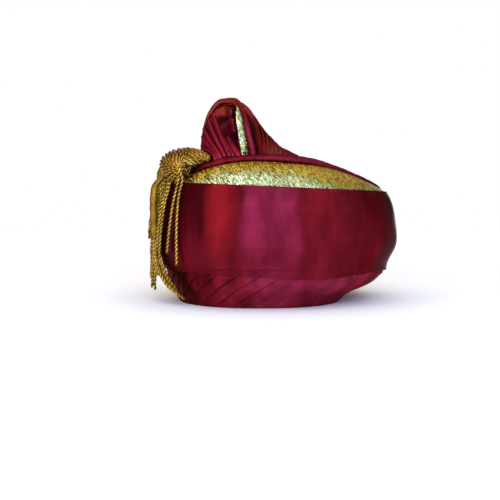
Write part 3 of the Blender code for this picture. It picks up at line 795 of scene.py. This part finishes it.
def shell_point(step, turn):
    """A point of the nested pleats, which step down from the mouth to the tail."""
    pleat, phase = step
    along = (pleat + phase) / (HOOD_PLEATS - 0.03)
    sway = 0.020 * noise.noise(Vector((turn * 2.6, pleat * 0.9, 2.2)))
    along += (sway - 0.030 * sin(pi * turn)) * smooth(along / 0.1) * smooth((1 - along) / 0.1)
    arch = read_curve(HOOD_CURVES, clamp(along))
    point = hood_arch_point(arch, clamp(hood_turn(turn, along)), hood_stand(turn, pleat, phase))
    point.z += 0.0005 * wave(point, 0.009, 9.0) * smooth(turn * 8) * smooth((1 - turn) * 8)
    point.x -= mouth_pull(turn, along)
    return point


def unit(vector, otherwise):
    return vector.normalized() if vector.length > 1e-6 else Vector(otherwise)


def lip_column(turn, start, behind, middle):
    """The mouth's lip at one place: it curls forward and in from the front of the shell."""
    forward = unit(start - behind, (0, -1, 0))
    inward = middle - start
    inward = unit(inward - forward * inward.dot(forward), (0, 0, -1))
    radius = LIP_RADIUS * sin(pi * turn) ** 1.1 + 0.0004
    return [
        start + forward * radius * sin(LIP_CURL * bend) * 0.9
        + inward * radius * (1 - cos(LIP_CURL * bend)) for bend in shares(LIP_STEPS)[1:]]


def hollow_row(right, left, high):
    """Folded cloth across the mouth, which sags back and has a slit for the gold strip."""
    deep = blend(0.85, 0.22, smooth((high - 0.25) / 0.42))
    row = []
    for share in shares(HOLLOW_COLUMNS):
        sag = arc(share)
        point = right.lerp(left, share)
        fold = sin(15 * high + 5 * share + 2.5 * wave(point, 0.02, 3.3))
        rise = (point.z - CROWN_TOP) / HOOD_HEIGHT
        beside = point.x - (HEAD_X + HOOD_SIDE + HOOD_LENGTH * (0.450 - 0.10 * rise))
        slit = 0.0050 * bell(beside, 0.0026) * (1 - smooth((rise - 0.72) / 0.16))
        edge = -0.0062 * bell(beside + 0.0068, 0.0030) * smooth((rise - 0.28) / 0.2)
        point.y += HOLLOW_DEPTH * sag * deep + (0.0012 * fold + slit + edge) * min(1.0, 2 * sag)
        point.z += 0.0006 * fold * sag
        row.append(point)
    return row


def make_hood(satin, inner_satin):
    """The hood with its lip, and the folded cloth in its mouth."""
    turns = shares(HOOD_COLUMNS)
    steps = [(pleat, phase) for pleat in range(HOOD_PLEATS) for phase in HOOD_PHASES]
    shell = grid(steps, turns, shell_point)
    middle = sum((point for point in shell[0]), Vector()) / len(shell[0])
    lip = upright([
        lip_column(turn, start, behind, middle)
        for turn, start, behind in zip(turns, shell[0], shell[3])])
    cloth = Cloth()
    cloth.add([list(reversed(row)) for row in lip[::-1] + shell])
    piece = cloth.build("hood_cloth", satin, ["hood"], wall=0.0006)
    inner = Cloth()
    sides = zip(lip[-1], reversed(lip[-1]), shares(HOOD_COLUMNS // 2))
    inner.add([hollow_row(right, left, high) for right, left, high in sides])
    piece = inner.build("hollow_cloth", inner_satin, [], wall=0.0006)


def leaf_row(leaf, share):
    """A row across a folded pleat: a rounded ridge, which turns back at both sides."""
    bow = sin(pi * share) * 0.035
    middle = hood_place(
        blend(leaf.foot_x, leaf.tip_x, share) - bow * 0.4,
        blend(leaf.foot_y, leaf.tip_y, share) - bow * 0.5,
        leaf.top * share ** 0.92)
    tip = sqrt(max(0.0, 1 - (max(0.0, share - 0.93) / 0.07) ** 2)) * 0.9 + 0.1
    narrow = (1 - 0.55 * share ** 4) * tip
    row = []
    for side in shares(LEAF_COLUMNS):
        across = side * 2 - 1
        back = LEAF_DEPTH * narrow * max(0.0, abs(across) - 0.1) ** 1.5 * (1.0 if across > 0 else 0.8)
        shift = leaf.width * narrow * (0.52 * sin(across * 1.45) + 0.06 * across ** 2)
        row.append(middle + Vector((shift, back + 0.0004, -0.25 * back)))
    return row[::-1]


def make_mouth_pleats(satin):
    cloth = Cloth()
    for leaf in LEAVES:
        cloth.add([leaf_row(leaf, share) for share in shares(LEAF_STEPS)])
    piece = cloth.build("mouth_pleats", satin, ["hood_pleats"], wall=0.0005)


def make_mouth_roll(satin):
    """The rolled edge at the right of the mouth."""
    cloth = Cloth()
    path = []
    for share in shares(ROLL_STEPS):
        section = read_curve(ROLL_SECTIONS, share)
        point = hood_arch_point(HOOD_CURVES[0], section.turn, 0.0)
        point.y -= ROLL_RADIUS + HOOD_WALL / 2 + CLEARANCE
        point.x -= mouth_pull(section.turn, 0.0)
        slim = blend(0.90, 0.44, smooth(share * 1.1)) * blend(0.25, 1.0, smooth((1 - share) / 0.22))
        path.append((point, ROLL_RADIUS * section.size * slim))
    rows = []
    for step, (point, radius) in enumerate(path):
        ahead = path[min(step + 1, ROLL_STEPS)][0] - path[max(step - 1, 0)][0]
        ahead.normalize()
        out = ahead.cross(Vector((0, 1, 0))).normalized()
        front = out.cross(ahead).normalized()
        row = []
        for turn in ring_angles(ROLL_SIDES):
            at = point + (out * 0.55 + spoke(turn, out * 1.40, front)) * radius
            row.append(point + (at - point) * (1 + 0.12 * wave(at, 0.009, 5.5)))
        rows.append(row)
    cloth.add(rows, round_rows=True)
    cloth.cap(ROLL_STEPS * ROLL_SIDES, ROLL_SIDES)
    piece = cloth.build("mouth_roll", satin, ["hood_roll"])


def make_strip(brocade):
    cloth = Cloth()
    rows = []
    for share in shares(STRIP_STEPS):
        section = read_curve(STRIP_SECTIONS, share)
        middle = hood_place(section.x, section.y, max(0.0, section.top))
        half = STRIP_WIDTH * section.width / 2
        row = []
        for side in shares(8):
            across = side * 2 - 1
            out = 0.0003 * wave(middle, 0.006, 2.0 + across) - 0.0012 * (1 - across ** 2)
            row.append(middle + Vector((across * half, out, 0.0004)))
        rows.append(row)
    cloth.add(rows)
    piece = cloth.build("strip_cloth", brocade, ["hood_strip"], wall=0.0006)


# Tassel

def fan_at(share):
    """Middle, outward direction and size of the fan, at a share of its arch."""
    def point(at):
        section = read_curve(HEAD_LINE, clamp(at))
        return Vector((
            HEAD_X - BAND_LEFT + TASSEL_STAND * section.x,
            BAND_FRONT * section.y,
            BAND_TOP + TASSEL_STAND * section.z)), section.size

    middle, size = point(share)
    run = (point(share + 0.02)[0] - point(share - 0.02)[0]).normalized()
    return middle, run.cross(Vector((0, 1, 0))).normalized(), size


def fan_point(share, turn, inside, stray=1.0):
    """A point round the fan, a given depth inside its surface."""
    middle, out, size = fan_at(share)
    thick = FAN_THICK * 0.9 * size * stray - inside
    broad = FAN_BREADTH * 0.8 * size * stray - inside
    return middle + spoke(turn, out * thick, Vector((0, broad, 0)))


def lock_line(lock):
    """The line that a hanging lock follows down the wall."""
    girth = LOCK_RADIUS * lock.girth
    points = []
    top = BAND_TOP - LOCK_RADIUS * 2
    widest = blend(WRAP_HEIGHT, BAND_TOP, max(BAND_SECTIONS, key=lambda row: row.side).height)
    for share in shares(10):
        height = blend(top, BAND_TOP * lock.end_height, share)
        angle = radians(blend(lock.top_angle, lock.end_angle, share ** (1.3 + 2.2 * lock.curl)))
        hang = wall_reach(angle, max(widest, height))
        reach = blend(hang, wall_reach(angle, height), lock.curl * smooth((share - 0.5) / 0.5))
        room = TASSEL_STAND - LOCK_CLEARANCE - 2 * girth
        stand = LOCK_CLEARANCE + girth + room * lock.layer * share ** 0.5
        points.append(place(angle, reach + stand, height))
    return points


def even_points(points, step):
    """Points a fixed step apart on a smooth curve through the given ones."""
    rows = [tuple(point) for point in points]
    count = (len(rows) - 1) * 24
    fine = [Vector(curve_through(rows, number / count)) for number in range(count + 1)]
    spaced = [fine[0]]
    carry = 0.0
    for start, end in zip(fine, fine[1:]):
        run = (end - start).length
        while run > 0 and carry + run >= step:
            start = start.lerp(end, (step - carry) / run)
            spaced.append(start.copy())
            run = (end - start).length
            carry = 0.0
        carry += run
    return spaced


def add_cord(cloth, points, radius, twist_from):
    """A twisted cord of two strands, closed at its ends, with a mark on its raised parts that paints a
    highlight on them and shade in the grooves.
    """
    line = even_points(points, CORD_PITCH / TWIST_STEPS)
    last = len(line) - 1
    out = Vector((0, 1, 0))
    rows, marks = [], []
    for step, point in enumerate(line):
        ahead = (line[min(step + 1, last)] - line[max(step - 1, 0)]).normalized()
        out = (out - ahead * out.dot(ahead)).normalized()
        twist = twist_from + tau * step / TWIST_STEPS
        close = min(1.0, 0.45 + min(step, last - step) * 0.3)
        lobes = [abs(cos(turn - twist * 0.5)) for turn in ring_angles(CORD_SIDES)]
        rows.append([
            point + spoke(turn, out, ahead.cross(out)) * (radius * close * (0.70 + 0.42 * lobe))
            for turn, lobe in zip(ring_angles(CORD_SIDES), lobes)])
        # painted light: the mark is high on the twist's raised parts and low in its grooves
        marks.append(lobes)
    first = len(cloth.points)
    cloth.add(rows, round_rows=True, marks=marks)
    cloth.cap(first, CORD_SIDES)
    cloth.cap(first + last * CORD_SIDES, CORD_SIDES)


def head_point(where, bend, shrink):
    """A point of the tassel's domed head, by its degrees round the knot and over the rim."""
    turn, lean = radians(where), radians(bend)
    behind = 0.012 * smooth((13 - where) / 20)
    reach_z = HEAD_REACH.z - shrink + 0.0026 * smooth((where - 195) / 25)
    return KNOT + Vector((
        (HEAD_REACH.x - shrink) * sin(lean) * cos(turn),
        (HEAD_REACH.y - shrink) * (1 - cos(lean)) + shrink + behind,
        reach_z * sin(lean) * sin(turn)))


def head_line(share, dice):
    """A cord that springs from the knot and curls over the rim of the head."""
    where = blend(-104, 248, share) + dice.uniform(-1.5, 1.5)
    stray = dice.uniform(-0.0007, 0.0007)
    return [head_point(where, bend, CORD_RADIUS + stray) for bend in (6, 22, 40, 58, 76, 94, 112, 130)]


def hanging_line(lock, turn, dice):
    """A cord that arches over the fan and hangs down in a lock, cut at its own length."""
    line = lock_line(lock)
    start = dice.uniform(0.0, 0.05)
    points = []
    for share in shares(10):
        stray = 1 + 0.05 * dice.uniform(-1, 1)
        points.append(fan_point(blend(start, 0.84, share), turn, CORD_RADIUS, stray))
    around = dice.uniform(0, tau)
    spread = LOCK_RADIUS * lock.girth * dice.uniform(0.45, 0.95)
    cut = 1 - dice.uniform(0.0, 0.10)
    for share in shares(9)[1:]:
        share *= cut
        swirl = around + share * 1.6
        offset = Vector((cos(swirl), sin(swirl), 0)) * spread
        offset += Vector((dice.uniform(-1, 1), dice.uniform(-1, 1), 0)) * 0.0004
        points.append(Vector(curve_through(line, share)) + offset)
    return points


def add_flat_lock(cloth):
    """The flat outer lock: painted shade along its edges and a painted highlight down its middle, worn in
    patches.
    """
    rows, marks = [], []
    for step, point in enumerate(even_points(FLAT_LINE, 0.002)):
        half = FLAT_LOCK / 2 * smooth((step + 2) / 6)
        stray = 0.0004 * wave(point, 0.004, 6.1)
        rows.append([
            point + Vector((half * side / 2 - 0.0006 + stray, stray - 0.0004 * (4 - side ** 2), 0))
            for side in range(-2, 3)])
        # painted shade at the edges and a painted highlight in the middle, with random wear on top
        worn = 0.16 * wave(point, 0.0035, 2.6)
        marks.append([0.38 + worn, 0.56 - worn, 0.60 + worn, 0.52 - worn, 0.36 + worn])
    cloth.add(rows, marks=marks)


def make_tassel(bullion, shaded_core_gold):
    """Cords that arch over the fan and hang in locks, the cords of the head, and a core inside them in a dark
    gold that paints the shade between the cords.
    """
    dice = random.Random(11)
    hanging = [lock for lock in CORD_LOCKS if not lock.front]
    turns = [tau * (number + 0.5) / FAN_CORDS for number in range(FAN_CORDS)]
    cloth = Cloth()
    for rank, turn in enumerate(sorted(turns, key=lambda turn: -sin(turn))):
        lock = hanging[min(len(hanging) - 1, rank * len(hanging) // FAN_CORDS)]
        line = hanging_line(lock, turn, dice)
        add_cord(cloth, line, CORD_RADIUS * dice.uniform(0.92, 1.08), dice.uniform(0, 6))
    for number, lock in enumerate(lock for lock in CORD_LOCKS if lock.front):
        angle = radians(lock.top_angle)
        girth = LOCK_RADIUS * lock.girth
        start = KNOT + Vector((dice.uniform(-1, 1), -1.0, dice.uniform(-1, 1))) * 0.0012
        reach = band_reach(angle, 1.0) + girth * (1 + lock.layer)
        edge = place(angle, reach, BAND_TOP + TOP_DROP + girth * 1.5)
        over = start.lerp(edge, 0.5) + Vector((-0.0030, -0.0040, 0.0030))
        add_cord(cloth, [start, over, edge] + lock_line(lock), CORD_RADIUS * 1.10, number)
    add_flat_lock(cloth)
    for number in range(HEAD_CORDS):
        add_cord(cloth, head_line(number / (HEAD_CORDS - 1), dice), CORD_RADIUS * 1.30, dice.uniform(0, 6))
    cloth.build("tassel_cords", bullion, ["gold_tassel"])
    core = Cloth()
    core.add(grid(
        shares(CORE_STEPS), ring_angles(CORE_SIDES),
        lambda share, turn: fan_point(share * 0.93, turn, CORD_RADIUS * 2)), round_rows=True)
    core.cap(0, CORE_SIDES)
    core.cap(CORE_STEPS * CORE_SIDES, CORE_SIDES)
    core.add(grid(
        range(0, 141, 10), shares(24),
        lambda bend, side: head_point(blend(-110, 262, side), bend, CORD_RADIUS * 2)))
    core.build("tassel_core", shaded_core_gold, [])


# Materials

def fill(tree, node, sockets):
    """Set a node's sockets by name, or link them where the value is another node's output."""
    for name, value in sockets.items():
        if isinstance(value, bpy.types.NodeSocket):
            tree.links.new(value, node.inputs[name])
        else:
            node.inputs[name].default_value = value


def add_node(tree, kind, sockets=None, **settings):
    node = tree.nodes.new("ShaderNode" + kind)
    for name, value in settings.items():
        setattr(node, name, value)
    fill(tree, node, sockets or {})
    return node


def new_material(name):
    """A material with its node tree, its shader and the outputs that say where a point is."""
    material = bpy.data.materials.new(name)
    material.use_nodes = True
    tree = material.node_tree
    return material, tree, tree.nodes["Principled BSDF"], add_node(tree, "TexCoord").outputs


def scaled(tree, vector, scale, rotation=(0.0, 0.0, 0.0)):
    sockets = {"Vector": vector, "Scale": scale, "Rotation": rotation}
    return add_node(tree, "Mapping", sockets).outputs["Vector"]


def speckle(tree, vector, scale, detail, roughness=0.6):
    """Noise, scaled along each axis by its own number."""
    sockets = {"Vector": scaled(tree, vector, scale), "Scale": 1.0, "Detail": detail, "Roughness": roughness}
    return add_node(tree, "TexNoise", sockets).outputs["Fac"]


def axis_of(tree, vector, axis):
    return add_node(tree, "SeparateXYZ", {"Vector": vector}).outputs[axis]


def ramp(tree, value, stops):
    node = add_node(tree, "ValToRGB", {"Fac": value})
    while len(node.color_ramp.elements) < len(stops):
        node.color_ramp.elements.new(0.5)
    for element, (position, colour) in zip(node.color_ramp.elements, stops):
        element.position = position
        element.color = (*colour, 1.0)
    return node.outputs["Color"]


def mix(tree, share, first, second, mode="MIX"):
    sockets = {"Factor": share, "A": opaque(first), "B": opaque(second)}
    return add_node(tree, "Mix", sockets, data_type="RGBA", blend_type=mode).outputs["Result"]


def opaque(colour):
    return (*colour, 1.0) if isinstance(colour, tuple) else colour


def mapped(tree, value, low, high, start=0.0, end=1.0):
    """A value that runs from start to end, mapped to run from low to high."""
    sockets = {"Value": value, "From Min": start, "From Max": end, "To Min": low, "To Max": high}
    return add_node(tree, "MapRange", sockets).outputs["Result"]


def bump(tree, height, strength, distance, normal=None):
    sockets = {"Strength": strength, "Distance": distance, "Height": height}
    if normal:
        sockets["Normal"] = normal
    return add_node(tree, "Bump", sockets).outputs["Normal"]


def satin_material(name, deep, bright, roughness, gloss=RED_EDGE, rotation=0.0, painted_shading=None):
    """Satin: fine threads along U, slow colour changes, and a gloss that is drawn out across them.

    The last argument, if given, is an axis, its range and the ramp stops of painted light and shade along it,
    which multiply the tone.
    """
    material, tree, shader, places = new_material(name)
    threads = speckle(tree, places["UV"], (18.0, 1500.0, 1.0), 3.0)
    coarse = speckle(tree, places["UV"], (9.0, 420.0, 1.0), 2.0, 0.5)
    slow = speckle(tree, places["Object"], (45.0, 45.0, 17.0), 4.0)
    tone = ramp(tree, slow, ((0.34, deep), (0.66, bright)))
    # painted light and shade: the tone is made lighter, darker or of another hue along one axis
    if painted_shading:
        axis, low, high, stops = painted_shading
        side = mapped(tree, axis_of(tree, places["Object"], axis), 0.0, 1.0, low, high)
        tone = mix(tree, 1.0, tone, ramp(tree, side, stops), "MULTIPLY")
    streak = ramp(tree, coarse, ((0.30, (0.74, 0.70, 0.72)), (0.62, WHITE)))
    relief = bump(tree, threads, 0.35, 0.00012)
    fill(tree, shader, {
        "Base Color": mix(tree, 0.50, tone, streak, "MULTIPLY"),
        "Roughness": mapped(tree, threads, roughness - 0.05, roughness + 0.07),
        "Metallic": 0.88,
        "Specular IOR Level": 0.50,
        "Specular Tint": opaque(gloss),
        "Anisotropic": 0.93,
        "Anisotropic Rotation": rotation,
        "Tangent": add_node(tree, "Tangent", direction_type="UV_MAP", uv_map="cloth").outputs["Tangent"],
        "Normal": bump(tree, coarse, 0.20, 0.00025, relief),
    })
    return material


def brocade_material(name, dash_angle):
    """Gold tinsel cloth: short slanting flakes of metal, each at its own tilt, on an ochre ground."""
    material, tree, shader, places = new_material(name)
    turned = scaled(tree, places["UV"], (1.0, 1.0, 1.0), (0.0, 0.0, dash_angle))
    flakes = add_node(tree, "TexVoronoi", {
        "Vector": scaled(tree, turned, (370.0, 1400.0, 1.0)), "Scale": 1.0, "Randomness": 1.0}).outputs
    split = add_node(tree, "SeparateColor", {"Color": flakes["Color"]}).outputs
    patches = speckle(tree, places["Object"], (90.0, 90.0, 90.0), 3.0)
    light_and_wear_mark = add_node(tree, "Attribute", attribute_name="mark").outputs["Fac"]
    height = add_node(tree, "Math", {0: light_and_wear_mark, 1: mapped(tree, patches, -0.22, 0.22)}, operation="ADD")
    # painted reflection: pale greenish gold where the mark is low, ochre and orange where it is high
    tone = ramp(tree, height.outputs["Value"], (
        (0.00, (0.58, 0.61, 0.30)), (0.26, (0.62, 0.69, 0.37)), (0.40, (0.44, 0.40, 0.130)),
        (0.56, (0.52, 0.37, 0.048)), (1.00, (0.50, 0.29, 0.008))))
    glitter = ramp(tree, split["Red"], (
        (0.00, (0.16, 0.15, 0.10)), (0.30, (0.45, 0.45, 0.38)), (0.75, WHITE), (1.00, (1.4, 1.4, 1.4))))
    tilt = add_node(tree, "NormalMap", {
        "Strength": 1.0, "Color": mix(tree, 0.34, (0.5, 0.5, 1.0), flakes["Color"])}, uv_map="cloth")
    fill(tree, shader, {
        "Base Color": mix(tree, 0.9, tone, glitter, "MULTIPLY"),
        "Metallic": 1.0,
        "Roughness": mapped(tree, split["Green"], 0.22, 0.42),
        "Normal": bump(tree, flakes["Distance"], 0.5, 0.0003, tilt.outputs["Normal"]),
    })
    return material


def bullion_material(name, dark, gold, pale):
    """Twisted gold thread: painted shade in the twist's grooves, a painted highlight on its raised parts, and
    darker and browner up on the head.
    """
    material, tree, shader, places = new_material(name)
    light_and_wear_mark = add_node(tree, "Attribute", attribute_name="mark").outputs["Fac"]
    patches = speckle(tree, places["Object"], (120.0, 120.0, 120.0), 2.0)
    fibre = speckle(tree, places["UV"], (3200.0, 700.0, 1.0), 2.0)
    # painted shade and highlight: the ramp runs from dark in the grooves to pale on the raised parts
    tone = ramp(tree, light_and_wear_mark, ((0.10, dark), (0.55, gold), (0.98, pale)))
    stain = ramp(tree, patches, ((0.35, (0.62, 0.48, 0.30)), (0.62, WHITE)))
    # darker and browner higher up, on the head
    high = mapped(tree, axis_of(tree, places["Object"], "Z"), 0.0, 1.0, 0.128, 0.146)
    head_darkened = mix(tree, 1.0, tone, mix(tree, high, WHITE, (0.60, 0.46, 0.28)), "MULTIPLY")
    fill(tree, shader, {
        "Base Color": mix(tree, 0.9, head_darkened, stain, "MULTIPLY"),
        "Metallic": 0.90,
        "Roughness": mapped(tree, fibre, 0.28, 0.5),
        "Normal": bump(tree, fibre, 0.5, 0.0002),
    })
    return material


# Studio

def make_floor():
    """A pale floor that glows a little far from the turban, so that its edge is as pale as the backdrop."""
    data = bpy.data.meshes.new("floor")
    across, along = Vector((FLOOR_RADIUS, 0, 0)), Vector((0, FLOOR_RADIUS, 0))
    points = [Vector()] + [spoke(turn, across, along) for turn in ring_angles(FLOOR_SIDES)]
    faces = [(0, 1 + step, 1 + (step + 1) % FLOOR_SIDES) for step in range(FLOOR_SIDES)]
    data.from_pydata([tuple(point) for point in points], [], faces)
    material, tree, shader, places = new_material("floor")
    far = add_node(tree, "VectorMath", {0: places["Object"]}, operation="LENGTH")
    fill(tree, shader, {
        "Base Color": (0.95, 0.95, 0.95, 1.0),
        "Roughness": 0.9,
        "Specular IOR Level": 0.1,
        "Emission Color": opaque(WHITE),
        "Emission Strength": mapped(tree, far.outputs["Value"], 0.0, 0.30, 0.35, 1.30),
    })
    data.materials.append(material)
    add_object("floor", data)


def aim(thing, place_at, forward):
    thing.location = place_at
    thing.rotation_mode = "QUATERNION"
    thing.rotation_quaternion = forward.to_track_quat("-Z", "Y")


def add_light(name, place_at, target, width, height, watts, colour, shape="RECTANGLE"):
    data = bpy.data.lights.new(name, "AREA")
    data.shape = shape
    data.size = width
    data.size_y = height
    data.energy = watts
    data.color = colour
    light = add_object(name, data)
    aim(light, place_at, Vector(target) - Vector(place_at))
    light.visible_camera = False


def make_world():
    """A pale surround with a white backdrop behind the turban, dimmer at the wearer's right and overhead."""
    world = bpy.data.worlds.new("studio")
    bpy.context.scene.world = world
    world.use_nodes = True
    tree = world.node_tree
    around = add_node(tree, "TexCoord").outputs["Generated"]
    high = ramp(tree, axis_of(tree, around, "Z"), ((0.25, (0.30, 0.29, 0.28)), (0.60, (0.20, 0.195, 0.19))))
    side = mapped(tree, axis_of(tree, around, "X"), 0.0, 1.0, -0.70, -0.10)
    high = mix(tree, side, (0.12, 0.095, 0.085), high)
    near = ramp(tree, axis_of(tree, around, "Y"), ((0.89, (0.0, 0.0, 0.0)), (0.935, WHITE)))
    fill(tree, tree.nodes["Background"], {"Color": mix(tree, near, high, WHITE), "Strength": 1.0})


def make_camera():
    elevation = radians(CAMERA_ELEVATION)
    forward = Vector((0.0, cos(elevation), -sin(elevation)))
    data = bpy.data.cameras.new("camera")
    data.lens = CAMERA_LENS
    data.sensor_width = 36.0
    data.clip_start = 0.01
    camera = add_object("camera", data)
    aim(camera, CAMERA_TARGET - forward * CAMERA_DISTANCE, forward)
    bpy.context.scene.camera = camera


def main():
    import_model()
    make_camera()
    make_world()
    make_floor()
    add_light("front", (0.065, -1.50, 0.42), (0.0, -0.1, 0.06), 0.90, 1.0, 16.6, (0.53, 0.92, 1.64))
    add_light("left", (-1.01, -1.13, 0.40), (-0.06, -0.05, 0.06), 1.15, 0.9, 7.6, (1, 0.66, 0.40), "ELLIPSE")
    add_light("right", (0.98, -1.18, 0.40), (0.04, -0.08, 0.06), 0.74, 0.9, 2.0, (1.0, 0.84, 0.66))
    add_light("above", (0.0, 0.0, 4.0), (0.0, 0.0, 0.0), 10.0, 10.0, 370.0, (1.0, 0.97, 0.93))
    satin = satin_material("satin", (0.100, 0.0048, 0.0098), (0.195, 0.0095, 0.0215), 0.32, rotation=0.25)
    # wrap satin: a painted sheen in a brighter, purpler base than the band's, painted shade towards -X and a
    # painted pink-purple highlight towards +X
    wrap_satin = satin_material(
        "wrap_satin", (0.130, 0.0085, 0.0180), (0.360, 0.0230, 0.0580), 0.38, RED_EDGE, 0.25,
        ("X", -0.10, 0.10, (
            (0.10, (0.70, 0.56, 0.36)), (0.40, (1.0, 0.95, 0.92)), (0.62, WHITE), (0.85, (1.4, 2.1, 2.0)))))
    roll_satin = satin_material("roll_satin", (0.105, 0.0062, 0.0120), (0.200, 0.0120, 0.0240), 0.36)
    # hood satin: painted shade on the lower hood and a painted orange highlight along its top, by height
    hood_satin = satin_material(
        "hood_satin", (0.070, 0.0045, 0.0075), (0.245, 0.0290, 0.0170), 0.38, (0.40, 0.085, 0.060), 0.0,
        ("Z", 0.148, 0.182, ((0.0, (0.62, 0.58, 0.60)), (1.0, (1.15, 1.25, 1.1)))))
    # hollow cloth: a painted orange-red highlight on its upper part, by height
    inner_satin = satin_material(
        "inner_satin", (0.075, 0.0042, 0.0090), (0.200, 0.0110, 0.0240), 0.40, RED_EDGE, 0.0,
        ("Z", 0.172, 0.188, ((0.0, WHITE), (1.0, (1.15, 2.2, 0.55)))))
    leaf_satin = satin_material("leaf_satin", (0.160, 0.0085, 0.0170), (0.290, 0.0160, 0.0350), 0.34)
    brocade = brocade_material("brocade", radians(52))
    strip_gold = brocade_material("strip_gold", radians(60))
    bullion = bullion_material("bullion", (0.024, 0.010, 0.001), (0.27, 0.145, 0.010), (0.66, 0.46, 0.090))
    # painted shade: a darker copy of the bullion for the core, which shows between the cords
    shaded_core_gold = bullion_material("shaded_core_gold", (0.06, 0.026, 0.003), (0.14, 0.07, 0.008), (0.2, 0.1, 0.015))
    make_wrap(wrap_satin)
    make_band(satin)
    make_brocade(brocade)
    make_piping(roll_satin)
    make_crown(satin)
    make_hood(hood_satin, inner_satin)
    make_mouth_pleats(leaf_satin)
    make_mouth_roll(roll_satin)
    make_strip(strip_gold)
    make_tassel(bullion, shaded_core_gold)
    bpy.context.scene.view_settings.view_transform = "Standard"


main()
